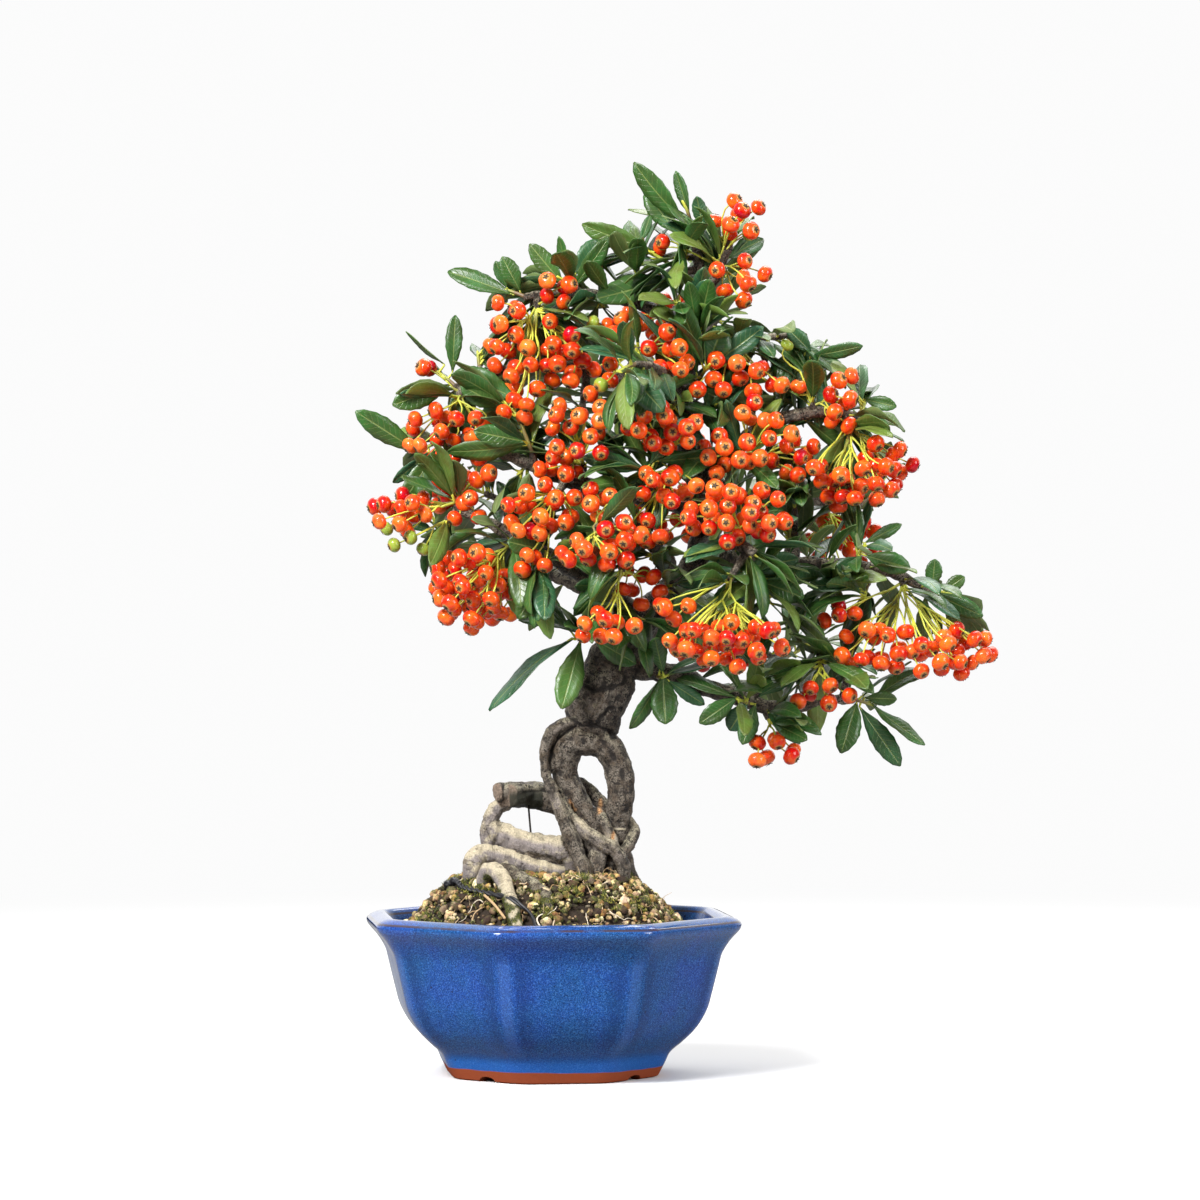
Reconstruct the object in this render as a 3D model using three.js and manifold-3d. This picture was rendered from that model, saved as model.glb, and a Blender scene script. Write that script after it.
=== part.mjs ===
// A pyracantha bonsai with exposed roots, in an eight-sided glazed pot. Millimetres, +Z up.
// The pot's centre is the layout's origin, and -Y is the front.
import * as THREE from 'three';
import { mergeVertices } from 'three/addons/utils/BufferGeometryUtils.js';
import Module from 'manifold-3d';

const wasm = await Module();
wasm.setup();

// Driving dimensions
const gap = 0.3; // between pieces that touch
const potTurn = 7; // degrees that the pot is turned about its axis
const potSides = 8;
const cornerRound = 8; // radius of the pot's soft corners
const potHeight = 64.5;
const drainRadius = 8;
const footNotch = { width: 8, height: 2.2, faces: [1, 3, 5, 7] };
const meshSize = 22; // the square of mesh over the drain hole
const meshBar = 1.4;
const meshThickness = 0.8;
const soilTop = 79.5;
const wireDiameter = 1.8;
const guyDiameter = 0.9;
const berryRadius = 3.75;
const berryRoom = 7.5; // least distance between the centres of two berries
const pedicelRadius = 0.6;
const stemRadius = 0.9;
const neck = { radius: 1.05, length: 1.5 }; // where a stem faces its twig
const rooted = 0.4; // how far behind its start a leaf or a pedicel begins, inside the stem
const cornersLeast = [0.0001, 0.001, 0.002]; // corners this close may be made one
const leafThickness = 0.7;
const leafShare = 0.27; // of a shoot's further leaves, that are kept here
const leavesLeast = 5; // on a shoot
const leafSwings = [0, -2, 2, -4, 4, -7, 7, -10, 10]; // tried at the tip of a leaf that shows
const berryShare = 0.195; // of a bunch's berries, that are kept here
const goldenAngle = 2.39996; // from one leaf round a stem to the next, in radians
const eye = { x: 19, y: -2020, z: 208 }; // the layout gives each place as seen from here

const colours = {
  glaze: 0x2d50a0,
  soil: 0x9a8058,
  bark: 0x7d7264,
  leaf: 0x3c5f38,
  berry: 0xe0552a,
  unripe: 0xa8b84a,
  wire: 0x1c1c1e,
  mesh: 0x26282a,
};

// Outer and inner profile of the pot: height, and radius to the corners
const potOuter = [
  [0, 43.6], [5.8, 46.7], [10, 48.9], [14.3, 54], [19.7, 59.5], [27, 63.9], [34.7, 66.2],
  [49.8, 70], [55, 73.4], [59.6, 78], [62.4, 78], [potHeight, 73],
];
const potInner = [
  [64.2, 69.5], [48, 64.5], [32, 60], [18, 52], [9, 36],
];
const potUnder = [[9, drainRadius], [4.5, drainRadius], [4.5, 36.5], [0, 38.4]];
const soilSide = [[9.35, 35], [18.2, 51.3], [32.2, 59.4], [57, 66.4]];

// Height of the soil's mound at each distance from its middle
const mound = {
  middle: [-3, 0],
  depth: 0.95, // its size from front to back, as a share of its width
  heights: [[0, 80.5], [26, 79.8], [34, 78.6], [40, 75], [46, 69], [52, 62.5], [58, 58], [80, 56.5]],
  rings: [0.86, 0.72, 0.57, 0.34],
  bump: 1.3,
};

// Roots, trunk and branches: x, y, z and radius at points along each
const trunk = [
  [29, 0, 173, 8], [23.4, 0, 163, 9.8], [20.2, 0, 153.6, 11.2], [16.4, 0, 146, 10.8],
  [17, 2, 140, 9.8], [16.4, 3, 134.5, 7],
];
const roots = {
  rightLimb: [
    [14.5, -3, 133.4, 5.7], [21.2, -3, 131.2, 5.5], [25.8, -2, 124.4, 5.3], [27.2, -2, 115.6, 5.3],
    [26.9, -1, 108, 5.1], [27, 0, 101.6, 3.9], [26.8, 1, 95, 3], [26.6, 3, 84, 3], [26, 3, 70, 3],
  ],
  leftLimb: [
    [14.5, -3, 133.4, 5.7], [8.4, -4, 133.6, 6], [5, -3, 129, 6.1], [4.6, -2, 122, 5.2],
    [6.2, -2, 116.4, 4.7], [9.6, -2, 110.6, 4.3], [13.2, -2, 104.2, 4.1], [16.8, -2, 97.6, 3.3],
    [20.4, -1, 90, 3], [20, 1, 70, 3],
  ],
  frontLeft: [
    [9, -7, 140.6, 2], [4, -8.4, 139.8, 2.2], [0.2, -9, 137.4, 2.2], [-2.2, -9, 133.4, 2],
    [-3.2, -9, 127.4, 1.7], [-2.8, -9, 121.2, 1.7], [-1.2, -9.4, 116, 1.9], [1, -10, 110.6, 2.1],
    [3.4, -10.6, 104.4, 2.3], [5.8, -11.4, 98.8, 2.6], [8.6, -12, 92.4, 2.8], [12.4, -13, 82, 2.8],
    [14.2, -13, 75, 2.4], [14.6, -13, 68, 2],
  ],
  crossing: [
    [3, -4, 113, 2.2], [6.4, -8, 103.4, 2.5], [12.7, -9.5, 97, 2.9], [19, -10, 92.8, 2.9],
    [24.8, -10, 89.4, 2.7], [27.8, -9.6, 84.6, 2.6], [28.4, -9, 79, 2.5], [28.6, -9, 70, 2.2],
  ],
  loop: [
    [27, 5, 104, 2], [30.4, 4, 101, 2.1], [32.6, 1, 96.4, 2.1], [30.8, -3, 91.8, 2.1],
    [27.2, -5, 88.7, 2.1], [22.3, -5, 87.8, 2.2],
  ],
  between: [[17.8, -3, 105.4, 1.7], [20.6, -5, 100.8, 1.9], [23, -6, 95.6, 1.9], [24.6, -6, 91, 1.8]],
  behindHole: [[10, 6, 116, 2.6], [14, 8, 113.5, 2.8], [19, 7, 109, 2.8], [24, 5, 103, 2.8]],
  knob: [[21, -4, 92, 2.8], [17.8, -8, 87, 3.7], [16.6, -9, 80, 3.2], [16, -8, 70, 2.6]],
  stub: [[9, -3, 96, 2.4], [13.4, -7, 92.6, 2.5], [16, -7, 88, 2.2]],
  sawn: [
    [7, 3, 106.6, 5], [0.6, 4, 109.6, 5.3], [-6.4, 3, 111.6, 5.3], [-12.4, -1, 111.8, 4.9],
    [-17.8, -8, 111.4, 4.6],
  ],
  sawnFork: [[-13, -2, 112, 4], [-18.4, -6, 112.8, 3.6], [-22, -10, 112.8, 3.2]],
  down: [
    [-17, -2, 109.5, 3], [-22, -3, 106.4, 3], [-25, -4, 101.5, 2.8], [-26, -4, 96.6, 2.8],
    [-25, -3, 91, 3], [-21.6, -1, 82, 3.2], [-19.6, 0, 70, 3.2],
  ],
  middle: [
    [-24, -4, 98.6, 3.4], [-19.4, -5.4, 95.4, 4.6], [-12.6, -6.4, 92.4, 4.8], [-4.6, -6.6, 91, 4.8],
    [0.8, -6.6, 90.2, 5.2], [5.4, -6.2, 89.4, 5.2], [8, -5, 83, 4], [8, -4, 70, 3],
  ],
  lowest: [
    [3, -8, 80.8, 2.4], [-3.4, -10, 82, 2.7], [-10.6, -11, 83.4, 3.2], [-17.9, -12, 86.1, 3.6],
    [-25.1, -13, 88, 3.6], [-29.4, -14, 87.6, 3.7], [-32, -15, 85, 3.7], [-32.6, -15, 80, 3.4],
    [-31, -14, 70, 2.8],
  ],
  frontArch: [
    [-27.1, -24, 68, 2.6], [-27.3, -25, 78, 2.9], [-24.4, -27.6, 81.6, 3.3], [-20.9, -31, 79.4, 3.1],
    [-19.1, -35, 75, 2.9], [-17.1, -40.5, 69.4, 2.7], [-15.4, -46, 63.7, 2.6], [-14, -51, 56, 2.4],
  ],
  halfBuried: [
    [-19, -16, 81, 3], [-16.2, -22, 79.8, 3], [-10.6, -29, 76.6, 3], [-5, -35, 73, 2.9],
    [-2.6, -39, 69.6, 2.6], [-1.6, -42, 63, 2.2],
  ],
  back: [[24, 7, 96, 3], [14, 12, 88, 3.8], [0, 16, 83, 4], [-12, 20, 79, 3.6], [-20, 25, 70, 3]],
  backRight: [[26, 6, 92, 3], [29, 11, 84, 3.4], [31, 17, 78, 3.2], [32, 22, 70, 2.8]],
};

const branches = {
  leader: [
    [23.4, 0, 163, 9.8], [29, 0, 173, 8], [36, 2, 182, 7], [47, 4, 192, 6], [57, 3, 204, 5.4],
    [61, 0, 217, 5], [60, -3, 232, 4.4], [54.5, -2, 248, 3.9], [53, 2, 264, 3.5], [54, 3, 280, 3],
    [56, 0, 296, 2.6], [59, -2, 312, 2.2], [58, 0, 327, 1.8], [55, 0, 339, 1.3],
  ],
  lowRight: [
    [27, 0, 167, 6], [34, -1, 163, 4.6], [43, -4, 161, 4], [53, -6, 158.6, 3.7], [62, -8, 154.4, 3.3],
    [72, -10, 151.4, 3], [83, -10, 147.6, 2.6], [95, -8, 146.4, 2.2], [108, -4, 149.4, 1.9],
    [120, -2, 150, 1.4],
  ],
  midRight: [
    [57, 3, 204, 4.2], [72, -3, 206, 3.6], [88, -7, 204, 3], [106, -8, 204, 2.6], [124, -6, 203, 2.2],
    [140, -3, 199, 1.7], [151, -2, 192, 1.3],
  ],
  highRight: [
    [60, -3, 234, 3.4], [71, -8, 249, 2.9], [86, -12, 260, 2.5], [100, -14, 264, 2.1],
    [112, -14, 265, 1.7], [121, -12, 263, 1.3],
  ],
  topRight: [[54.4, 2, 284, 2.2], [68, 0, 290, 1.6], [82, -4, 294, 1.3], [94, -8, 295.4, 1]],
  crownRight: [[59, -2, 310, 2], [66, -5, 320, 1.7], [71, -7, 334, 1.3]],
  topLeft: [
    [56, 0, 298, 2.4], [40, -5, 306, 2.1], [22, -8, 311, 1.8], [4, -10, 312, 1.5], [-10, -10, 311, 1.2],
  ],
  highLeft: [
    [53, 2, 264, 3], [35, -6, 275, 2.7], [14, -12, 282, 2.3], [-8, -14, 283, 1.9], [-26, -10, 280, 1.6],
    [-38, -6, 275, 1.2],
  ],
  midLeft: [
    [59, -2, 226, 3.8], [41, -10, 230, 3.4], [20, -17, 234, 3], [0, -20, 240, 2.5], [-16, -18, 247, 2.1],
    [-30, -12, 253, 1.7], [-42, -8, 255, 1.3],
  ],
  lowLeft: [
    [36, 2, 182, 4], [22, -6, 193, 3.4], [6, -14, 203, 2.9], [-8, -20, 211, 2.4], [-22, -20, 219, 2],
    [-38, -14, 226, 1.5],
  ],
  frontMid: [
    [50, 4, 196, 3.2], [45, -14, 206, 2.7], [38, -32, 214, 2.2], [28, -46, 218, 1.7], [18, -54, 219, 1.3],
  ],
  frontRight: [[60, 0, 212, 3], [67, -18, 213, 2.6], [74, -36, 212, 2.1], [80, -50, 209, 1.6]],
  frontHigh: [[53, 2, 268, 2.4], [48, -18, 277, 2.1], [42, -36, 282, 1.7], [34, -48, 284, 1.3]],
  backLow: [[31, 2, 176, 3.6], [44, 24, 178, 3.1], [60, 46, 177, 2.6], [76, 62, 172, 2], [90, 70, 166, 1.4]],
  backLeft: [
    [36, 2, 182, 3.6], [18, 24, 192, 3.1], [0, 42, 200, 2.6], [-18, 54, 206, 2], [-36, 58, 208, 1.4],
  ],
  backMid: [[57, 3, 206, 3.6], [62, 26, 214, 3], [66, 50, 219, 2.4], [70, 72, 220, 1.6]],
  backRight: [[61, 0, 218, 3.4], [80, 20, 226, 2.9], [100, 38, 230, 2.4], [122, 50, 228, 1.6]],
  backHigh: [[54, -1, 252, 3.2], [46, 24, 262, 2.7], [36, 46, 267, 2.1], [24, 62, 266, 1.4]],
  backTop: [[55, 2, 288, 2.6], [60, 20, 298, 2.1], [66, 38, 302, 1.4]],
};

// Leafy shoots: the points of the stem, the leaves that show at the edge (base x and z, tip x and z,
// width), and the number of further leaves that a rule places along the stem
const shoots = {
  apex: {
    stem: [[55, 0, 341], [54, -1, 345], [52, -2, 349]],
    shown: [
      [53.2, 340.2, 32.4, 364.4, 8.8], [54.8, 343.4, 49.2, 361.2, 5], [49.8, 335.6, 37.2, 353.6, 9.6],
      [60.4, 337.8, 57.6, 351.2, 6], [52.6, 330.4, 72, 332, 6],
    ],
    more: 4,
  },
  crown_left: {
    stem: [[50, -4, 322], [42, -6, 327], [35, -8, 331]],
    shown: [[40.8, 328.8, 11.6, 339.6, 8.8], [35.2, 332.4, 39.2, 343.6, 4], [52.4, 318.8, 16.4, 309.6, 11]],
    more: 7,
  },
  top_left: {
    stem: [[-11, -10, 311], [-15, -9, 312.6], [-19, -8, 314]],
    shown: [
      [-15.6, 311.6, -42, 321.2, 8], [-12.8, 312.8, -20, 326.8, 8], [-18, 314, -22.8, 325.2, 5],
    ],
    more: 5,
  },
  top_mid: {
    stem: [[10, -10, 314], [6, -12, 317], [2, -13, 319]],
    shown: [
      [8.4, 314.8, 22.4, 334.4, 7], [4.6, 315.4, -9.2, 332, 8], [8.8, 319.6, 18.8, 333.6, 9],
      [6, 317, 2.8, 335.2, 4],
    ],
    more: 6,
  },
  high_left: {
    stem: [[-38.6, -6, 275], [-42, -5, 278], [-46, -4, 281]],
    shown: [
      [-40, 280.4, -38.8, 303.6, 7], [-43.2, 283.6, -59.2, 296.4, 1.6], [-41.2, 275.6, -64, 267.6, 10.4],
      [-38.4, 273.8, -38, 260.4, 7],
    ],
    more: 3,
  },
  high_left_inner: {
    stem: [[-8, -24, 248], [-11, -26, 256], [-15, -23, 265], [-20, -18, 269]],
    shown: [
      [-14, 270.2, -39.2, 280.8, 12], [-20.2, 266.4, -36.4, 275.6, 9], [-9.2, 252.6, -31.6, 257.2, 9],
      [-10.2, 251.6, -42, 249, 8],
    ],
    more: 8,
  },
  left: {
    stem: [[-43, -8, 255], [-48, -7, 252], [-53, -6, 249]],
    shown: [
      [-53.2, 248.6, -78.8, 265.2, 9.6], [-46.4, 250.6, -61.2, 226.8, 8], [-49.2, 249.2, -64, 236.8, 5],
    ],
    more: 5,
  },
  low_left: {
    stem: [[-2, -26, 206], [-4, -30, 205], [-8, -34, 204]],
    shown: [[-1.2, 204, -13.8, 182, 10.5], [-7, 204.2, -16.8, 190.4, 8], [-2.4, 209.2, -18.2, 213.2, 9]],
    more: 8,
  },
  skirt_left: {
    stem: [[16, -12, 176], [13, -14, 175], [9, -16, 174]],
    shown: [
      [7.8, 174.4, -25.2, 145.2, 5.5], [11.2, 173.4, 3.6, 146, 11], [16.6, 174, 33.2, 164.2, 9],
    ],
    more: 4,
  },
  skirt_mid: {
    stem: [[42, -8, 159], [43, -12, 158.6], [45, -16, 159]],
    shown: [[44.2, 160.2, 45.2, 139.8, 11], [43.4, 158.4, 31.2, 138, 6], [46, 157.6, 60.8, 147.8, 6]],
    more: 4,
  },
  skirt_right: {
    stem: [[79, -14, 148], [77, -17, 149], [74, -20, 150]],
    shown: [[74, 150.8, 58.8, 140.4, 8], [77.8, 148.6, 70.8, 137.4, 9], [81.2, 148, 76, 131.8, 8]],
    more: 5,
  },
  low_right: {
    stem: [[120.6, -2, 150], [124, -1, 149], [128, 0, 147.6]],
    shown: [
      [122.8, 147, 139.2, 123.2, 9], [121.8, 149, 115.6, 128.8, 10], [127.4, 148, 149.2, 132, 5],
      [124.8, 150.6, 137.8, 150, 6],
    ],
    more: 5,
  },
  far_right: {
    stem: [[151.4, -2, 192.6], [155, -1, 193], [160, 0, 192]],
    shown: [
      [152.2, 192.6, 172, 183.2, 8], [151.8, 194, 153, 206, 7], [156, 193, 164.8, 199, 6],
    ],
    more: 6,
  },
  right: {
    stem: [[122, -9, 206], [123, -12, 209], [125, -15, 212]],
    shown: [
      [124.8, 207.6, 143, 202.4, 9], [122.8, 207.2, 112.2, 197.8, 9], [123.6, 209.6, 118, 231.6, 8],
      [124.8, 212.4, 139.6, 220, 5],
    ],
    more: 6,
  },
  mid_right: {
    stem: [[78, -10, 202], [79, -20, 200], [81, -30, 199], [84, -38, 198]],
    shown: [
      [76.4, 202.4, 98.4, 206, 9], [80.8, 199.2, 108, 200.8, 9], [76.8, 201.6, 50.2, 196.4, 9],
      [82, 197.6, 100.6, 190.6, 10], [80.6, 198.6, 66.6, 186.4, 8],
    ],
    more: 9,
  },
  high_right: {
    stem: [[94.6, -8, 295.2], [99, -8, 292], [104, -8, 288]],
    shown: [
      [103.6, 287.4, 124.2, 291.6, 6], [103.6, 288.6, 94, 298.4, 7], [98.8, 290.6, 94.4, 271.6, 12],
    ],
    more: 4,
  },
  right_edge: {
    stem: [[121.6, -12, 263], [124, -11, 266], [125, -10, 269]],
    shown: [[124.4, 270, 137.6, 267, 6], [123, 263.6, 135, 256.6, 7]],
    more: 5,
  },
  upper_mid: {
    stem: [[58, -8, 276], [60, -16, 280], [63, -24, 284]],
    shown: [
      [64, 283.6, 84.4, 298.8, 9], [57.6, 274.2, 76.4, 266.6, 10], [55.6, 276.4, 41.8, 290, 11],
      [62, 283, 68, 299, 12],
    ],
    more: 7,
  },
  centre: {
    stem: [[40, -22, 236], [39, -32, 240], [38, -42, 243]],
    shown: [
      [40.8, 245.2, 74.8, 249.2, 8], [36.8, 242, 12.2, 246.8, 8], [38.2, 243, 52.6, 262.4, 7],
      [38.2, 240.6, 21.2, 226.4, 8],
    ],
    more: 10,
  },
  front_high: {
    stem: [[33.4, -48, 284], [30, -52, 283], [26, -56, 281]],
    shown: [[29.6, 281.8, 44.6, 264.8, 11]],
    more: 8,
  },
  back_low: { stem: [[91, 70, 166], [96, 73, 168], [101, 75, 171], [106, 76, 174]], shown: [], more: 13 },
  back_left: { stem: [[-37, 58, 208], [-42, 60, 213], [-46, 62, 219], [-49, 62, 225]], shown: [], more: 13 },
  back_mid: { stem: [[70.4, 73, 220], [73, 78, 224], [76, 83, 229], [79, 86, 234]], shown: [], more: 14 },
  back_right: { stem: [[123, 50, 228], [128, 52, 232], [132, 53, 237], [134, 54, 243]], shown: [], more: 13 },
  back_high: { stem: [[23, 62, 266], [18, 64, 271], [13, 65, 277], [9, 65, 283]], shown: [], more: 14 },
  back_top: { stem: [[66.6, 39, 302.6], [69, 42, 308], [71, 44, 314], [71, 44, 320]], shown: [], more: 13 },
};

// Bunches of berries: where the stalk starts, and the parts of the bunch (middle, half sizes, count)
const bunches = {
  crown: {
    from: [66, -6, 324],
    parts: [[74, -12, 343, 11, 8, 9, 10], [75, -12, 318, 12, 7, 9, 8], [45, -8, 332, 5, 5, 5, 4]],
  },
  top_left: {
    from: [-6, -13, 307],
    parts: [[-18, -20, 291, 9.5, 9, 19, 22], [3, -24, 288, 12, 9, 15, 22], [2, -20, 314, 7, 6, 6, 6]],
  },
  upper_mid: {
    from: [34, -14, 290],
    parts: [[47, -26, 288, 9, 8, 10, 9], [24, -20, 300, 9, 6, 7, 7], [19, -26, 279, 8, 8, 8, 6]],
  },
  high_left: {
    from: [-37, -9, 272],
    parts: [[-49, -12, 257, 11, 9, 9, 13], [-32, -14, 257, 7, 6, 4, 4], [-49, -9, 282, 5, 6, 5, 5]],
  },
  front_left: { from: [12, -22, 244], parts: [[10, -34, 262, 15, 9, 7, 15], [3, -30, 243, 10, 8, 6, 9]] },
  left: {
    from: [-38, -15, 229],
    parts: [[-60, -12, 225, 11.5, 9, 9.5, 15], [-29, -20, 242, 5, 5, 7, 4], [-34, -20, 226, 8, 6, 6, 6]],
  },
  mid_left: { from: [3, -28, 234], parts: [[-5, -40, 226, 16, 10, 11, 23]] },
  low_left: { from: [-16, -22, 213], parts: [[-32.6, -27, 194, 17, 14, 16, 40]] },
  front_mid: { from: [17.4, -54, 218.6], parts: [[16, -56, 208, 15, 9, 8, 16], [19, -50, 228, 7, 6, 8, 5]] },
  front_centre: {
    from: [47, -28, 243],
    parts: [[46, -44, 235, 12, 10, 8, 14], [35, -42, 217, 11, 8, 6, 8], [44, -46, 259, 14, 9, 9, 17]],
  },
  front_right: { from: [76, -38, 215], parts: [[74, -52, 224, 21, 11, 12, 28]] },
  centre_right: {
    from: [76, -16, 246],
    parts: [[70, -34, 248, 14, 9, 8, 15], [99, -22, 248, 12, 9, 9, 13], [80, -26, 265, 7, 6, 6, 5]],
  },
  upper_right: { from: [74, -6, 292], parts: [[74, -18, 281, 14, 8, 6, 14]] },
  low_mid: { from: [28, -38, 202], parts: [[20.6, -52, 179, 12.5, 9, 6.2, 13], [35, -26, 196, 9, 8, 9, 10]] },
  low_right: {
    from: [71, -46, 198],
    parts: [[70, -60, 171.5, 25, 12, 9, 31], [50, -52, 186, 8, 7, 4, 6]],
  },
  skirt_right: { from: [107, -12, 166], parts: [[108, -22, 151, 13, 8, 5, 11]] },
  skirt_mid: { from: [86, -12, 143], parts: [[90, -18, 129.5, 11.5, 7, 6, 9]] },
  far_right: {
    from: [140, -5, 196],
    parts: [[133, -16, 170, 19, 11, 10, 26], [162, -8, 169, 15, 10, 10, 21], [114, -14, 184, 7, 6, 6, 5]],
  },
  high_right: {
    from: [104, -15, 268],
    parts: [[116, -18, 270, 6, 7, 14, 13], [99, -16, 275, 6, 5, 5, 4], [94, -14, 294, 5, 5, 4, 3]],
  },
  right: { from: [118, -15, 260], parts: [[134, -20, 243, 10, 12, 11, 21], [120, -20, 233, 12, 12, 7, 16]] },
  back_low: { from: [70, 60, 178], parts: [[66, 76, 172, 18, 11, 12, 22]] },
  back_left: { from: [-8, 50, 202], parts: [[-20, 68, 195, 17, 12, 14, 24]] },
  back_mid: { from: [62, 58, 221], parts: [[48, 78, 224, 18, 12, 12, 22]] },
  back_right: { from: [110, 46, 226], parts: [[116, 60, 212, 18, 12, 12, 22]] },
  back_high: { from: [34, 50, 270], parts: [[44, 66, 258, 17, 11, 11, 20]] },
  back_top: { from: [60, 30, 303], parts: [[44, 38, 303, 14, 10, 11, 15]] },
  left_unripe: { from: [-42, -16, 222], parts: [[-55, -20, 213, 9, 5, 4, 3]], colour: colours.unripe },
  left_back: { from: [-26, 30, 232], parts: [[-44, 34, 238, 13, 13, 12, 16]] },
};

const tieWire = [
  [-42, -8, 75.8], [-38.8, -14, 77.4], [-35.7, -22, 74.8], [-28.6, -31, 73], [-23, -37, 71.8],
  [-17, -43.4, 70.4], [-12.6, -46.4, 67.4], [-8.4, -48, 63.6], [-6, -49, 57],
];
const wireTwist = [[-42, -8, 75.8, 1.9], [-39.6, -12.6, 77.2, 1.8]];
const guyWire = [[-9.6, -2.4, 107.2], [-9.2, -3.6, 102], [-8.7, -5.8, 96.5]];

// The edge of the crown as seen from the front, which the leaves that turn round a stem keep inside
const crownEdge = [
  [35, 351], [55, 350], [79, 354], [90, 327], [86, 313], [77, 304], [96, 298], [120, 291], [132, 271],
  [143, 258], [144, 241], [133, 222], [141, 207], [161, 195], [178, 178], [171, 163], [150, 154],
  [131, 148], [119, 140], [99, 131], [75, 134], [59, 142], [41, 150], [28, 158], [2, 164], [-4, 172],
  [-16, 184], [-22, 174], [-34, 174], [-50, 188], [-53, 202], [-68, 217], [-71, 230], [-60, 242],
  [-65, 262], [-63, 275], [-50, 290], [-34, 294], [-26, 312], [-12, 322], [3, 331], [19, 335],
];

// A run of random numbers that is the same each time
function seeded(seed) {
  let state = (seed * 7919 + 12345) % 4294967296;
  const next = () => {
    state = (state * 1664525 + 1013904223) % 4294967296;
    return state / 4294967296;
  };
  next();
  return next;
}

// A place that is given as seen from the front, moved along the line of sight to its own depth
function place([x, y, z]) {
  const reach = (y - eye.y) / -eye.y;
  return new THREE.Vector3(eye.x + (x - eye.x) * reach, y, eye.z + (z - eye.z) * reach);
}

// Whether a point lies inside the crown's edge as seen from the front
function insideCrown(point) {
  const reach = (point.y - eye.y) / -eye.y;
  const x = eye.x + (point.x - eye.x) / reach;
  const z = eye.z + (point.z - eye.z) / reach;
  let inside = false;
  crownEdge.forEach(([x1, z1], i) => {
    const [x0, z0] = crownEdge.at(i - 1);
    if (z0 > z !== z1 > z && x < x0 + ((z - z0) * (x1 - x0)) / (z1 - z0)) inside = !inside;
  });
  return inside;
}

function curveOf(points) {
  return new THREE.CatmullRomCurve3(points.map(place), false, 'catmullrom', 0.5);
}

function radiusAt(points, t) {
  const along = t * (points.length - 1);
  const first = Math.min(Math.floor(along), points.length - 2);
  return THREE.MathUtils.lerp(points[first][3], points[first + 1][3], along - first);
}

// A closed skin over rings of points that have the same number of points each
function loft(rings, startTip = null, endTip = null, crossedStrip = -1) {
  const around = rings[0].length;
  const points = rings.flat();
  const faces = [];
  for (let ring = 0; ring + 1 < rings.length; ring++) {
    for (let k = 0; k < around; k++) {
      const a = ring * around + k;
      const b = ring * around + (k + 1) % around;
      if (k === crossedStrip) faces.push(a, b, b + around, a, b + around, a + around);
      else faces.push(a, b, a + around, b, b + around, a + around);
    }
  }
  const cap = (from, tip, turned) => {
    if (tip) points.push(tip);
    for (let k = tip ? 0 : 2; k < around; k++) {
      const corners = tip
        ? [points.length - 1, from + k, from + (k + 1) % around]
        : [from, from + k - 1, from + k];
      if (turned) corners.reverse();
      faces.push(...corners);
    }
  };
  cap(0, startTip, true);
  cap((rings.length - 1) * around, endTip, false);
  return closedGeometry(points, faces);
}

function closedGeometry(points, faces) {
  let volume = 0;
  for (let i = 0; i < faces.length; i += 3) {
    const [a, b, c] = [points[faces[i]], points[faces[i + 1]], points[faces[i + 2]]];
    volume += a.dot(new THREE.Vector3().crossVectors(b, c)) / 6;
  }
  const geometry = new THREE.BufferGeometry();
  geometry.setAttribute('position', new THREE.Float32BufferAttribute(points.flatMap((p) => p.toArray()), 3));
  geometry.setIndex(volume < 0 ? [...faces].reverse() : faces);
  return geometry;
}

// A tapering round limb along a curve, with rounded or flat ends
function limb(curve, radius, sides, steps, bulge = 0.5) {
  const centres = curve.getPoints(steps);
  const rings = [];
  let side = new THREE.Vector3(0.31, 0.9, 0.29);
  const tangentAt = (i) => new THREE.Vector3()
    .subVectors(centres[Math.min(i + 1, steps)], centres[Math.max(i - 1, 0)]).normalize();
  for (let i = 0; i <= steps; i++) {
    const tangent = tangentAt(i);
    side = side.clone().addScaledVector(tangent, -side.dot(tangent)).normalize();
    const other = new THREE.Vector3().crossVectors(tangent, side);
    const r = radius(i / steps);
    rings.push(Array.from({ length: sides }, (_, k) => {
      const angle = (2 * Math.PI * k) / sides;
      return centres[i].clone()
        .addScaledVector(side, r * Math.cos(angle))
        .addScaledVector(other, r * Math.sin(angle));
    }));
  }
  const start = centres[0].clone().addScaledVector(tangentAt(0), -bulge * radius(0));
  const end = centres[steps].clone().addScaledVector(tangentAt(steps), bulge * radius(1));
  return loft(rings, start, end);
}

function solid(geometry) {
  const bare = geometry.clone();
  for (const name of Object.keys(bare.attributes)) {
    if (name !== 'position') bare.deleteAttribute(name);
  }
  const merged = mergeVertices(bare, 1e-4);
  return new wasm.Manifold(new wasm.Mesh({
    numProp: 3,
    vertProperties: new Float32Array(merged.attributes.position.array),
    triVerts: new Uint32Array(merged.index.array),
  }));
}

// The largest piece of a solid, without loose scraps or sealed hollows
function whole(body) {
  const pieces = body.decompose();
  return pieces.reduce((best, piece) => (piece.volume() > best.volume() ? piece : best));
}

function geometryOf(body) {
  const mesh = body.getMesh();
  const geometry = new THREE.BufferGeometry();
  geometry.setAttribute('position', new THREE.BufferAttribute(new Float32Array(mesh.vertProperties), 3));
  geometry.setIndex(new THREE.BufferAttribute(new Uint32Array(mesh.triVerts), 1));
  return geometry;
}

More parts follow.
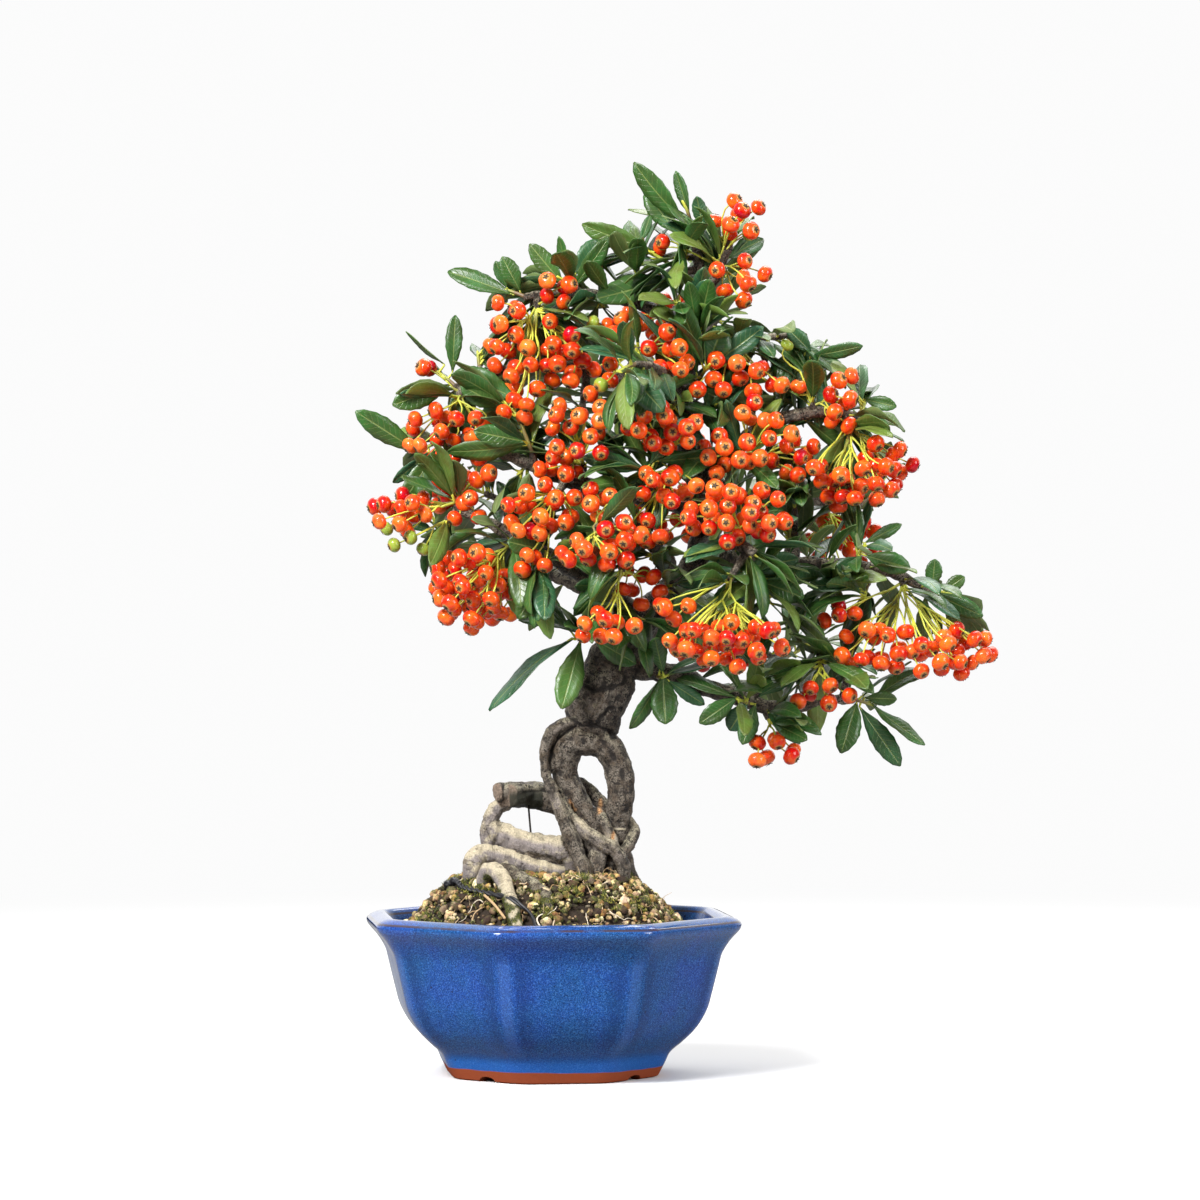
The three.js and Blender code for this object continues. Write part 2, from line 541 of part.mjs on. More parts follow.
// Whether each edge still has its two faces once corners that all but meet are made one
function staysClosed(geometry, least) {
  const merged = mergeVertices(geometry, least);
  const count = merged.attributes.position.count;
  const corners = merged.index.array;
  const edges = new Set();
  for (let i = 0; i < corners.length; i++) {
    const [from, to] = [corners[i], corners[i % 3 === 2 ? i - 2 : i + 1]];
    if (from === to || edges.has(from * count + to)) return false;
    edges.add(from * count + to);
  }
  return [...edges].every((edge) => edges.has((edge % count) * count + Math.floor(edge / count)));
}

// Simplified by about this tolerance, and by the first of these shares of it that stays closed
function simpler(body, tolerance) {
  for (const share of [1, 1.15, 1.3, 1.5, 1.8, 2.2, 2.8, 0.8, 0.6, 0.4, 0.2, 0.05]) {
    const simple = whole(body.asOriginal().simplify(share * tolerance));
    if (cornersLeast.every((least) => staysClosed(geometryOf(simple), least))) return simple;
  }
  return null;
}

function fused(solids, tolerance = 0.18) {
  return simpler(whole(wasm.Manifold.union(solids)), tolerance);
}

// A node's stems with as many of its leaves or berries as fuse into one sound body
function fusedNode(stems, repeats) {
  for (let count = repeats.length; count > 0; count--) {
    const body = fused([...stems, ...repeats.slice(0, count)].map((one) => one.body));
    if (body) return body;
  }
  throw new Error(`no sound body with ${repeats.length} repeats`);
}

function named(name, body, colour, roughness = 0.8) {
  const geometry = geometryOf(body);
  const material = new THREE.MeshStandardMaterial({ color: colour, roughness, metalness: 0 });
  const made = new THREE.Mesh(geometry, material);
  made.name = name;
  return made;
}

// One level of the pot: eight corners of three points each, or a circle for the drain hole
function potRing(z, radius, round = cornerRound) {
  const points = [];
  const reach = Math.tan(Math.PI / potSides) * round;
  const cut = (1 / Math.cos(Math.PI / potSides) - 1) * round;
  for (let side = 0; side < potSides; side++) {
    const angle = THREE.MathUtils.degToRad(potTurn) + ((side - 0.5) * 2 * Math.PI) / potSides;
    for (const step of [-1, 0, 1]) {
      if (radius <= drainRadius) {
        const turn = angle + (step * 2 * Math.PI) / (3 * potSides);
        points.push(new THREE.Vector3(radius * Math.cos(turn), radius * Math.sin(turn), z));
        continue;
      }
      const edge = angle + step * (Math.PI / 2 + Math.PI / potSides);
      const from = step === 0 ? radius - cut : radius;
      const along = step === 0 ? 0 : reach;
      points.push(new THREE.Vector3(
        from * Math.cos(angle) + along * Math.cos(edge),
        from * Math.sin(angle) + along * Math.sin(edge),
        z,
      ));
    }
  }
  return points;
}

function makePot() {
  const rings = [...potOuter, ...potInner, ...potUnder].map(([z, radius]) => potRing(z, radius));
  const around = rings[0].length;
  const points = rings.flat();
  const faces = [];
  for (let ring = 0; ring < rings.length; ring++) {
    const next = ((ring + 1) % rings.length) * around;
    for (let k = 0; k < around; k++) {
      const a = ring * around + k;
      const b = ring * around + (k + 1) % around;
      faces.push(a, b, next + k, b, next + (k + 1) % around, next + k);
    }
  }
  let pot = solid(closedGeometry(points, faces));
  const arch = new THREE.Shape();
  const half = footNotch.width / 2;
  arch.moveTo(-half, -1);
  arch.lineTo(half, -1);
  arch.lineTo(half, 0);
  arch.quadraticCurveTo(half * 0.8, footNotch.height, 0, footNotch.height);
  arch.quadraticCurveTo(-half * 0.8, footNotch.height, -half, 0);
  for (const face of footNotch.faces) {
    const notch = new THREE.ExtrudeGeometry(arch, { depth: 20, bevelEnabled: false, curveSegments: 3 });
    notch.rotateX(Math.PI / 2);
    notch.translate(0, -28, 0);
    notch.rotateZ(THREE.MathUtils.degToRad(potTurn) + (face * 2 * Math.PI) / potSides + Math.PI / 2);
    pot = pot.subtract(solid(notch));
  }
  return simpler(pot, 0.01);
}

function makeDrainMesh() {
  const bars = [];
  const count = 3;
  for (let i = 0; i < count; i++) {
    const off = THREE.MathUtils.lerp(meshBar - meshSize, meshSize - meshBar, i / (count - 1)) / 2;
    for (const turned of [false, true]) {
      const bar = new THREE.BoxGeometry(meshSize, meshBar, meshThickness);
      bar.translate(0, off, 9 + gap + meshThickness / 2);
      if (turned) bar.rotateZ(Math.PI / 2);
      bars.push(solid(bar));
    }
  }
  return fused(bars, 0.01);
}

function moundHeight(x, y) {
  const far = Math.hypot(x - mound.middle[0], (y - mound.middle[1]) / mound.depth);
  const next = mound.heights.findIndex(([distance]) => distance > far);
  const [d0, h0] = mound.heights[next - 1];
  const [d1, h1] = mound.heights[next];
  return THREE.MathUtils.lerp(h0, h1, (far - d0) / (d1 - d0));
}

function makeMound() {
  const draw = seeded(3);
  const rings = soilSide.map(([z, radius]) => potRing(z, radius));
  const wall = rings.at(-1);
  for (const share of mound.rings) {
    rings.push(wall.map((p) => {
      const [x, y] = [p.x * share, p.y * share];
      return new THREE.Vector3(x, y, moundHeight(x, y) + (draw() - 0.5) * 2 * mound.bump);
    }));
  }
  const body = solid(loft(rings, new THREE.Vector3(0, 0, soilSide[0][0]), new THREE.Vector3(0, 0, soilTop)));
  const room = new THREE.BoxGeometry(meshSize + 2 * gap, meshSize + 2 * gap, 4);
  room.translate(0, 0, 9 + gap + meshThickness + gap - 2);
  return body.subtract(solid(room));
}

// The nearest place on the branches to a point, for a twig to start from
function nearestWood(point) {
  let best = { distance: Infinity };
  for (const points of Object.values(branches)) {
    const curve = curveOf(points);
    const steps = 6 * (points.length - 1);
    for (let i = 0; i <= steps; i++) {
      const at = curve.getPoint(i / steps);
      const distance = at.distanceTo(point);
      if (distance < best.distance - 1e-6) best = { distance, at, radius: radiusAt(points, i / steps) };
    }
  }
  return best;
}

// A twig of the tree from the nearest branch to where a shoot or a bunch begins, in the direction it takes
function makeTwig({ from, heading }) {
  const wood = nearestWood(from);
  if (wood.distance < wood.radius) return null;
  const lean = from.clone().addScaledVector(heading, -0.4 * wood.distance);
  const curve = new THREE.QuadraticBezierCurve3(wood.at, lean, from);
  const start = Math.min(wood.radius * 0.8, 1.7);
  return solid(limb(curve, (t) => THREE.MathUtils.lerp(start, 1, t), 3, 2, 0));
}

function woodLimbs() {
  const limbs = [{ points: trunk, sides: 9, each: 1.4 }];
  for (const points of Object.values(roots)) limbs.push({ points, sides: points[0][3] > 4 ? 7 : 5, each: 1 });
  for (const [name, points] of Object.entries(branches)) {
    limbs.push({ points, sides: name === 'leader' ? 6 : 4, each: 1 });
  }
  return limbs;
}

function limbSolid({ points, sides, each }, extra = 0) {
  const steps = Math.round(each * (points.length - 1));
  const bulge = points.at(-1)[3] < 2 ? 0 : 0.5;
  return solid(limb(curveOf(points), (t) => radiusAt(points, t) + extra, sides, steps, bulge));
}

// A leaf: a thin blade, arched along its length, on a short stalk that starts in the stem
function leafGeometry({ root, base, tip, normal, width, bow }) {
  const axis = new THREE.Vector3().subVectors(tip, base);
  const length = axis.length();
  const side = new THREE.Vector3().crossVectors(axis, normal).normalize();
  const up = new THREE.Vector3().crossVectors(side, axis).normalize();
  const bend = base.clone().lerp(tip, 0.5).addScaledVector(up, bow * length);
  const curve = new THREE.QuadraticBezierCurve3(base, bend, tip);
  const section = (centre, across, thick) => {
    const corner = (s, u) => centre.clone()
      .addScaledVector(side, s * across / 2)
      .addScaledVector(up, u * thick / 2);
    return [corner(-1, 1), corner(1, 1), corner(1, -1), corner(-1, -1)];
  };
  const stalk = 2 * pedicelRadius;
  const rings = [];
  const inside = root.clone().addScaledVector(axis, -rooted / length);
  rings.push(section(inside, stalk, stalk));
  if (root.distanceTo(base) > 4) rings.push(section(base, stalk, stalk));
  for (const [t, share] of [[0.58, 1], [1, 0.38]]) {
    rings.push(section(curve.getPoint(t), width * share, leafThickness));
  }
  return loft(rings, null, null, 2);
}

function nearestOn(curve, point) {
  let best = curve.getPoint(0);
  for (let i = 0; i <= 16; i++) {
    const at = curve.getPoint(i / 16);
    if (at.distanceTo(point) < best.distanceTo(point) - 1e-6) best = at;
  }
  return best;
}

// The leaves of a shoot: those that show at the edge, then the rest round the stem by the golden angle
function leavesOf(shoot, seed) {
  const curve = curveOf(shoot.stem);
  const leaves = [];
  shoot.shown.forEach(([baseX, baseZ, tipX, tipZ, seenWidth], i) => {
    const draw = seeded(seed * 100 + i);
    const near = nearestOn(curve, place([baseX, shoot.stem[1][1], baseZ]));
    const base = place([baseX, near.y, baseZ]);
    const seenLength = Math.hypot(tipX - baseX, tipZ - baseZ);
    const tip = place([tipX, near.y + (draw() - 0.62) * 0.6 * seenLength, tipZ]);
    const length = base.distanceTo(tip);
    const width = Math.min(Math.max(seenWidth, 0.33 * length), 12);
    const roll = Math.acos(Math.min(seenWidth / width, 1)) * (draw() < 0.7 ? 1 : -1);
    const axis = new THREE.Vector3().subVectors(tip, base).normalize();
    const facing = new THREE.Vector3(0, -1, 0).applyAxisAngle(axis, axis.x > 0 ? roll : -roll);
    leaves.push({ root: near, base, tip, normal: facing, width, bow: (draw() - 0.3) * 0.16, shown: true });
  });
  const start = curve.getPoint(0);
  for (let k = 0; k < shoot.more; k++) {
    const draw = seeded(seed * 100 + 50 + k);
    const t = (k + 0.8) / (shoot.more + 0.3);
    const root = curve.getPoint(t);
    const [before, after] = [curve.getPoint(t - 0.05), curve.getPoint(Math.min(t + 0.05, 1))];
    const tangent = after.sub(before).normalize();
    const side = new THREE.Vector3(0.2, 0.3, 0.93);
    side.addScaledVector(tangent, -side.dot(tangent)).normalize();
    side.applyAxisAngle(tangent, k * goldenAngle + draw() * 0.8);
    const lean = 0.75 + 0.4 * draw();
    const length = 21 + 9 * draw();
    const base = new THREE.Vector3();
    const tip = new THREE.Vector3();
    for (let turn = 0; turn < 5; turn++) {
      side.applyAxisAngle(tangent, turn ? goldenAngle : 0);
      const axis = side.clone().multiplyScalar(Math.sin(lean)).addScaledVector(tangent, Math.cos(lean));
      axis.normalize();
      base.copy(root).addScaledVector(axis, 2.5);
      tip.copy(base).addScaledVector(axis, length);
      if (insideCrown(tip)) break;
    }
    if (!insideCrown(tip)) continue;
    const normal = new THREE.Vector3(0, 0, 1).addScaledVector(side, -0.35 + 0.5 * draw());
    leaves.push({
      root, base, tip, normal, width: length * (0.3 + 0.08 * draw()), bow: 0.02 + 0.1 * draw(),
      shown: false, reach: tip.distanceTo(start),
    });
  }
  return leaves;
}

// The berries of a bunch: places drawn in each part's ellipsoid that keep clear of all berries so far
function berriesOf(bunch, seed, taken) {
  const berries = [];
  bunch.parts.forEach(([x, y, z, halfX, halfY, halfZ, count], part) => {
    const draw = seeded(seed * 10 + part);
    const middle = place([x, y, z]);
    let found = 0;
    for (let attempt = 0; attempt < 60 * count && found < count; attempt++) {
      const u = [2 * draw() - 1, 2 * draw() - 1, 2 * draw() - 1];
      const far = u[0] * u[0] + u[1] * u[1] + u[2] * u[2];
      if (far > 1) continue;
      const at = new THREE.Vector3(middle.x + u[0] * halfX, middle.y + u[1] * halfY, middle.z + u[2] * halfZ);
      if (taken.some((other) => other.distanceTo(at) < berryRoom)) continue;
      taken.push(at);
      found++;
      berries.push({ at, part });
    }
  });
  return berries;
}

// A berry in one skin with its own stalk, from where that leaves the bunch's stalk
function berrySolid(at, from) {
  const axis = new THREE.Vector3().subVectors(at, from);
  const length = axis.length();
  axis.divideScalar(length);
  const side = new THREE.Vector3(-axis.y, axis.x, 0.01).cross(axis).normalize();
  const other = new THREE.Vector3().crossVectors(axis, side);
  const ring = (along, radius, turn) => [0, 1, 2, 3].map((k) => {
    const angle = ((k + turn) * Math.PI) / 2;
    return from.clone().addScaledVector(axis, along)
      .addScaledVector(side, radius * Math.cos(angle))
      .addScaledVector(other, radius * Math.sin(angle));
  });
  const [waist, girth] = [0.42 * berryRadius, 0.96 * berryRadius];
  const rings = [
    ring(-rooted, pedicelRadius, 0), ring(length - 0.9 * berryRadius, pedicelRadius, 0),
    ring(length - waist, girth, 0), ring(length + waist, girth, 0.5),
  ];
  return solid(loft(rings, null, from.clone().addScaledVector(axis, length + berryRadius)));
}

// What is already in place: solids with their boxes, by node
const inPlace = [];

function boxesMeet(a, b) {
  return [0, 1, 2].every((i) => a.min[i] - gap < b.max[i] && b.min[i] - gap < a.max[i]);
}

function isClear(body, node) {
  const box = body.boundingBox();
  return inPlace.every((other) => other.node === node || !boxesMeet(box, other.box)
    || other.body.minGap(body, 1) >= gap * 0.9);
}

function putInPlace(body, node) {
  inPlace.push({ body, node, box: body.boundingBox() });
}

// A stem through these points, bent to one side where it would meet another node
function clearStem(points, node) {
  const axis = points.at(-1).clone().sub(points[0]);
  const side = new THREE.Vector3(-axis.y, axis.x, 0.01).normalize();
  axis.normalize();
  for (const bend of [0, 1.5, 3, 5, 8]) {
    for (let turn = 0; turn < (bend ? 8 : 1); turn++) {
      const off = side.clone().applyAxisAngle(axis, (turn * Math.PI) / 4).multiplyScalar(bend);
      const middle = points[0].clone().lerp(points.at(-1), 0.5).add(off);
      const bent = points.length > 2
        ? points.map((p, i) => (i && i < points.length - 1 ? p.clone().add(off) : p))
        : bend ? [points[0], middle, points[1]] : points;
      const curve = new THREE.CatmullRomCurve3(bent, false, 'catmullrom', 0.5);
      const body = solid(limb(curve, (t) => stemRadius * (1 - 0.25 * t), 3, bent.length - 1));
      if (isClear(body, node)) return { body, curve };
    }
  }
  throw new Error(`no clear way for the stem of ${node}`);
}

// The short neck that faces the end of its twig, at the first distance that is clear
function clearNeck({ from, heading }, node) {
  for (let off = -2 * gap; off < 3; off += 0.1) {
    const start = from.clone().addScaledVector(heading, off);
    const end = start.clone().addScaledVector(heading, neck.length);
    const body = solid(limb(new THREE.LineCurve3(start, end), () => neck.radius, 3, 1, 0));
    if (isClear(body, node)) return { body, end: start.clone().lerp(end, 0.5) };
  }
  throw new Error(`no clear neck for ${node}`);
}

function startOfShoot({ stem }) {
  const from = place(stem[0]);
  return { from, heading: place(stem[1]).sub(from).normalize() };
}

function startOfBunch({ from: start, parts }) {
  const from = place(start);
  const heading = new THREE.Vector3();
  for (const middle of parts) heading.add(place(middle).sub(from).normalize());
  return { from, heading: heading.normalize() };
}

function makeTree(limbs) {
  const starts = [...Object.values(shoots).map(startOfShoot), ...Object.values(bunches).map(startOfBunch)];
  return fused([...limbs.map((one) => limbSolid(one)), ...starts.map(makeTwig).filter(Boolean)], 0.22);
}

function wireSolid(radius, curve, steps) {
  const round = new THREE.Shape();
  round.absarc(0, 0, radius, 0, 2 * Math.PI);
  return solid(new THREE.ExtrudeGeometry(round, {
    extrudePath: curve, steps, curveSegments: 3, bevelEnabled: false,
  }));
}

// The tie wire, with the lump where its end is twisted
function makeTieWire(extra = 0) {
  const lumps = wireTwist.map(([x, y, z, r]) => {
    const ball = new THREE.IcosahedronGeometry(r + extra, 0);
    ball.translate(...place([x, y, z]));
    return solid(ball);
  });
  return fused([wireSolid(wireDiameter / 2 + extra, curveOf(tieWire), 10), ...lumps], 0.05);
}

// The soil, with plain holes that the roots and the wire stand in
function makeSoil(limbs) {
  const holes = limbs.filter(({ points }) => points.some(([, , z]) => z < soilTop))
    .map((one) => limbSolid(one, gap + 0.1));
  const soil = makeMound().subtract(wasm.Manifold.union([...holes, makeTieWire(gap + 0.1)]));
  return simpler(whole(soil), 0.1);
}

const group = new THREE.Group();

function addNode(name, body, colour, roughness) {
  group.add(named(name, body, colour, roughness));
  putInPlace(body, name);
}

function addBunch(name, bunch, seed, taken) {
  const node = `berries_${name}`;
  const start = place(bunch.from);
  const berries = berriesOf(bunch, seed, taken);
  const wanted = Math.max(3, Math.round(berries.length * berryShare));
  const kept = [];
  while (berries.length && kept.length < wanted) {
    // The berry that is furthest from those kept so far comes next
    const room = ({ at }) => Math.min(at.distanceTo(start), ...kept.map((k) => k.at.distanceTo(at)));
    berries.sort((a, b) => room(b) - room(a));
    const { at, part } = berries.shift();
    const body = [1, 0.86, 0.72, 0.58, 0.44, 0.3]
      .map((t) => berrySolid(at, stalks[name][part].curve.getPoint(t)))
      .find((one) => isClear(one, node) && kept.every((k) => k.body.minGap(one, 0.5) > 0.05));
    if (!body) continue;
    kept.push({ at, body });
    putInPlace(body, node);
  }
  const body = fusedNode([necks[node], ...stalks[name]], kept);
  group.add(named(node, body, bunch.colour ?? colours.berry, 0.25));
}

// A leaf that shows, its tip swung along the line of sight and its blade narrowed until it is clear
function clearLeaf(leaf, node, kept) {
  const sight = leaf.tip.clone().sub(eye).normalize();
  for (const share of leaf.shown ? [1, 0.75] : [1]) {
    for (const swing of leaf.shown ? leafSwings : [0]) {
      const tip = leaf.tip.clone().addScaledVector(sight, swing);
      const moved = { ...leaf, tip, width: share * leaf.width };
      const body = solid(leafGeometry(moved));
      const blade = solid(leafGeometry({ ...moved, root: leaf.base }));
      if (isClear(body, node) && kept.every((k) => k.blade.minGap(blade, 0.5) >= 0.05)) return { body, blade };
    }
  }
  return null;
}

function addShoot(name, shoot, seed) {
  const node = `leaves_${name}`;
  const leaves = leavesOf(shoot, seed);
  const wanted = Math.max(shoot.shown.length + Math.round(shoot.more * leafShare), leavesLeast);
  leaves.sort((a, b) => (b.shown - a.shown) || (b.reach ?? 0) - (a.reach ?? 0));
  const kept = [];
  for (const leaf of leaves) {
    if (kept.length >= wanted) break;
    const clear = clearLeaf(leaf, node, kept);
    if (!clear) continue;
    kept.push(clear);
    putInPlace(clear.body, node);
  }
  group.add(named(node, fusedNode([necks[node], stems[name]], kept), colours.leaf, 0.4));
}

const limbs = woodLimbs();
addNode('pot', makePot(), colours.glaze, 0.2);
addNode('drain_mesh', makeDrainMesh(), colours.mesh, 0.5);
addNode('tree', makeTree(limbs), colours.bark, 0.8);
addNode('tie_wire', makeTieWire(), colours.wire, 0.5);
addNode('guy_wire', wireSolid(guyDiameter / 2, curveOf(guyWire), 4), colours.wire, 0.5);
addNode('soil', makeSoil(limbs), colours.soil, 0.95);

// Every stem is in place before the first leaf or berry, which then keep clear of all of them
const necks = {};
const stems = {};
for (const [name, shoot] of Object.entries(shoots)) {
  const node = `leaves_${name}`;
  necks[node] = clearNeck(startOfShoot(shoot), node);
  stems[name] = clearStem([necks[node].end, ...shoot.stem.slice(1).map(place)], node);
  for (const { body } of [necks[node], stems[name]]) putInPlace(body, node);
}
const stalks = {};
for (const [name, bunch] of Object.entries(bunches)) {
  const node = `berries_${name}`;
  necks[node] = clearNeck(startOfBunch(bunch), node);
  const { end } = necks[node];
  stalks[name] = bunch.parts.map((middle) => clearStem([end, place(middle).lerp(end, 0.3)], node));
  for (const { body } of [necks[node], ...stalks[name]]) putInPlace(body, node);
}

const taken = [];
Object.entries(bunches).forEach(([name, bunch], i) => addBunch(name, bunch, i + 1, taken));
Object.entries(shoots).forEach(([name, shoot], i) => addShoot(name, shoot, i + 1));

// The frame's origin is the middle of the bottom of the whole object's box
const box = new THREE.Box3().setFromObject(group);
group.position.set(-(box.min.x + box.max.x) / 2, -(box.min.y + box.max.y) / 2, -box.min.z);

export default group;
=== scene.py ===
import math
import bmesh
import bpy
import numpy as np
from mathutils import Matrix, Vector
from mathutils.kdtree import KDTree


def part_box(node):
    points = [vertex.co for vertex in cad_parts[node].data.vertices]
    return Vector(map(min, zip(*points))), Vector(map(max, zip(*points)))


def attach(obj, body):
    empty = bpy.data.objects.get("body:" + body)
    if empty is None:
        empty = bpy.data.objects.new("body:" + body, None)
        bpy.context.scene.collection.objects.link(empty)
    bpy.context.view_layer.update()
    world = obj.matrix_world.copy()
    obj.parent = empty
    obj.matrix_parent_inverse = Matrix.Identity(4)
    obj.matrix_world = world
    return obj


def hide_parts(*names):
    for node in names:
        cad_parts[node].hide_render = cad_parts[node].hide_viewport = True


# A pyracantha bonsai in a blue glazed pot, built round its CAD frame
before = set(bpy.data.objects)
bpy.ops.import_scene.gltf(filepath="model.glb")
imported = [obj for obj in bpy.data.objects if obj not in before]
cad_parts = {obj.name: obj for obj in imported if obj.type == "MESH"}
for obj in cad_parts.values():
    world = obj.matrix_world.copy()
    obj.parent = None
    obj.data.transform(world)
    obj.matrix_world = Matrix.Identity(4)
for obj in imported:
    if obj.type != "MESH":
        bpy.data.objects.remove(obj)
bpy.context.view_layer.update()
perMetre = 1000  # the plan and the shapes are in millimetres, and the scene is in metres
potCorners = np.array([list(corner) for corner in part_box("pot")])
potMiddle = potCorners.mean(axis=0) * [1, 1, 0]


def linked(name, data):  # a new object in the scene
    made = bpy.data.objects.new(name, data)
    bpy.context.scene.collection.objects.link(made)
    return made


# Metres from the pot's middle, and degrees
cameraView = {"lens": 151.5, "distance": 2.020, "height": 0.208, "aside": 0.019, "pitch": 0.52}

lens = bpy.data.cameras.new("camera")
lens.lens = cameraView["lens"]
lens.sensor_width = 36
lens.clip_end = 100
camera = linked("camera", lens)
camera.location = potMiddle + [cameraView["aside"], -cameraView["distance"], cameraView["height"]]
camera.rotation_euler = (math.radians(90 - cameraView["pitch"]), 0, 0)
bpy.context.scene.camera = camera
print("stage: frame and camera")

# The plan in millimetres from the middle of the pot's foot. A place [x, y, z] on the tree or a wire has
# x and z as the camera sees them against the upright plane through the pot's middle, and its own depth y,
# to which placed() moves it along the line of sight. A fourth number is a radius.
eye = perMetre * np.array([cameraView["aside"], -cameraView["distance"], cameraView["height"]])
drainRadius, potHeight = 8, 64.5
potOuter = [  # height, and about how far the corners reach, from the foot to the lip
  [0, 43.6], [5.8, 46.7], [10, 48.9], [14.3, 54], [19.7, 59.5], [27, 63.9], [34.7, 66.2],
  [49.8, 70], [55, 73.4], [59.6, 78], [62.4, 78], [potHeight, 73],
]
potInner = [
  [64.2, 69.5], [48, 64.5], [32, 60], [18, 52], [9, 36],
]
potUnder = [[9, drainRadius], [4.5, drainRadius], [4.5, 36.5], [0, 38.4]]
soilSide = [  # the same for the soil, up along the pot's wall
  [9.35, 35], [18.2, 51.3], [32.2, 59.4], [57, 66.4],
]
mound = {  # "heights" gives the distance from its middle and the height there
    "middle": [-3, 0], "depth": 0.95,
    "heights": [[0, 80.5], [26, 79.8], [34, 78.6], [40, 75], [46, 69], [52, 62.5], [58, 58], [80, 56.5]],
}
trunk = [
  [29, 0, 173, 8], [23.4, 0, 163, 9.8], [20.2, 0, 153.6, 11.2], [16.4, 0, 146, 10.8],
  [17, 2, 140, 9.8], [16.4, 3, 134.5, 7],
]
roots = {
  "rightLimb": [
    [14.5, -3, 133.4, 5.7], [21.2, -3, 131.2, 5.5], [25.8, -2, 124.4, 5.3], [27.2, -2, 115.6, 5.3],
    [26.9, -1, 108, 5.1], [27, 0, 101.6, 3.9], [26.8, 1, 95, 3], [26.6, 3, 84, 3], [26, 3, 70, 3],
  ],
  "leftLimb": [
    [14.5, -3, 133.4, 5.7], [8.4, -4, 133.6, 6], [5, -3, 129, 6.1], [4.6, -2, 122, 5.2],
    [6.2, -2, 116.4, 4.7], [9.6, -2, 110.6, 4.3], [13.2, -2, 104.2, 4.1], [16.8, -2, 97.6, 3.3],
    [20.4, -1, 90, 3], [20, 1, 70, 3],
  ],
  "frontLeft": [
    [9, -7, 140.6, 2], [4, -8.4, 139.8, 2.2], [0.2, -9, 137.4, 2.2], [-2.2, -9, 133.4, 2],
    [-3.2, -9, 127.4, 1.7], [-2.8, -9, 121.2, 1.7], [-1.2, -9.4, 116, 1.9], [1, -10, 110.6, 2.1],
    [3.4, -10.6, 104.4, 2.3], [5.8, -11.4, 98.8, 2.6], [8.6, -12, 92.4, 2.8], [12.4, -13, 82, 2.8],
    [14.2, -13, 75, 2.4], [14.6, -13, 68, 2],
  ],
  "crossing": [
    [3, -4, 113, 2.2], [6.4, -8, 103.4, 2.5], [12.7, -9.5, 97, 2.9], [19, -10, 92.8, 2.9],
    [24.8, -10, 89.4, 2.7], [27.8, -9.6, 84.6, 2.6], [28.4, -9, 79, 2.5], [28.6, -9, 70, 2.2],
  ],
  "loop": [
    [27, 5, 104, 2], [30.4, 4, 101, 2.1], [32.6, 1, 96.4, 2.1], [30.8, -3, 91.8, 2.1],
    [27.2, -5, 88.7, 2.1], [22.3, -5, 87.8, 2.2],
  ],
  "between": [[17.8, -3, 105.4, 1.7], [20.6, -5, 100.8, 1.9], [23, -6, 95.6, 1.9], [24.6, -6, 91, 1.8]],
  "behindHole": [[10, 6, 116, 2.6], [14, 8, 113.5, 2.8], [19, 7, 109, 2.8], [24, 5, 103, 2.8]],
  "knob": [[21, -4, 92, 2.8], [17.8, -8, 87, 3.7], [16.6, -9, 80, 3.2], [16, -8, 70, 2.6]],
  "stub": [[9, -3, 96, 2.4], [13.4, -7, 92.6, 2.5], [16, -7, 88, 2.2]],
  "sawn": [
    [7, 3, 106.6, 5], [0.6, 4, 109.6, 5.3], [-6.4, 3, 111.6, 5.3], [-12.4, -1, 111.8, 4.9],
    [-17.8, -8, 111.4, 4.6],
  ],
  "sawnFork": [[-13, -2, 112, 4], [-18.4, -6, 112.8, 3.6], [-22, -8.6, 112.8, 3.4]],
  "down": [
    [-17, -2, 109.5, 3], [-22, -3, 106.4, 3], [-25, -4, 101.5, 2.8], [-26, -4, 96.6, 2.8],
    [-25, -3, 91, 3], [-21.6, -1, 82, 3.2], [-19.6, 0, 70, 3.2],
  ],
  "middle": [
    [-24, -4, 98.6, 3.4], [-19.4, -5.4, 95.4, 4.6], [-12.6, -6.4, 92.4, 4.8], [-4.6, -6.6, 91, 4.8],
    [0.8, -6.6, 90.2, 5.2], [5.4, -6.2, 89.4, 5.2], [8, -5, 83, 4], [8, -4, 70, 3],
  ],
  "lowest": [
    [3, -8, 80.8, 2.4], [-3.4, -10, 82, 2.7], [-10.6, -11, 83.4, 3.2], [-17.9, -12, 86.1, 3.6],
    [-25.1, -13, 88, 3.6], [-29.4, -14, 87.6, 3.7], [-32, -15, 85, 3.7], [-32.6, -15, 80, 3.4],
    [-31, -14, 70, 2.8],
  ],
  "frontArch": [
    [-27.1, -24, 68, 2.6], [-27.3, -25, 78, 2.9], [-24.4, -27.6, 81.6, 3.3], [-20.9, -31, 79.4, 3.1],
    [-19.1, -35, 75, 2.9], [-17.1, -40.5, 69.4, 2.7], [-15.4, -46, 63.7, 2.6], [-14, -51, 56, 2.4],
  ],
  "halfBuried": [
    [-19, -16, 81, 3], [-16.2, -22, 79.8, 3], [-10.6, -29, 76.6, 3], [-5, -35, 73, 2.9],
    [-2.6, -39, 69.6, 2.6], [-1.6, -42, 63, 2.2],
  ],
  "back": [[24, 7, 96, 3], [14, 12, 88, 3.8], [0, 16, 83, 4], [-12, 20, 79, 3.6], [-20, 25, 70, 3]],
  "backRight": [[26, 6, 92, 3], [29, 11, 84, 3.4], [31, 17, 78, 3.2], [32, 22, 70, 2.8]],
}
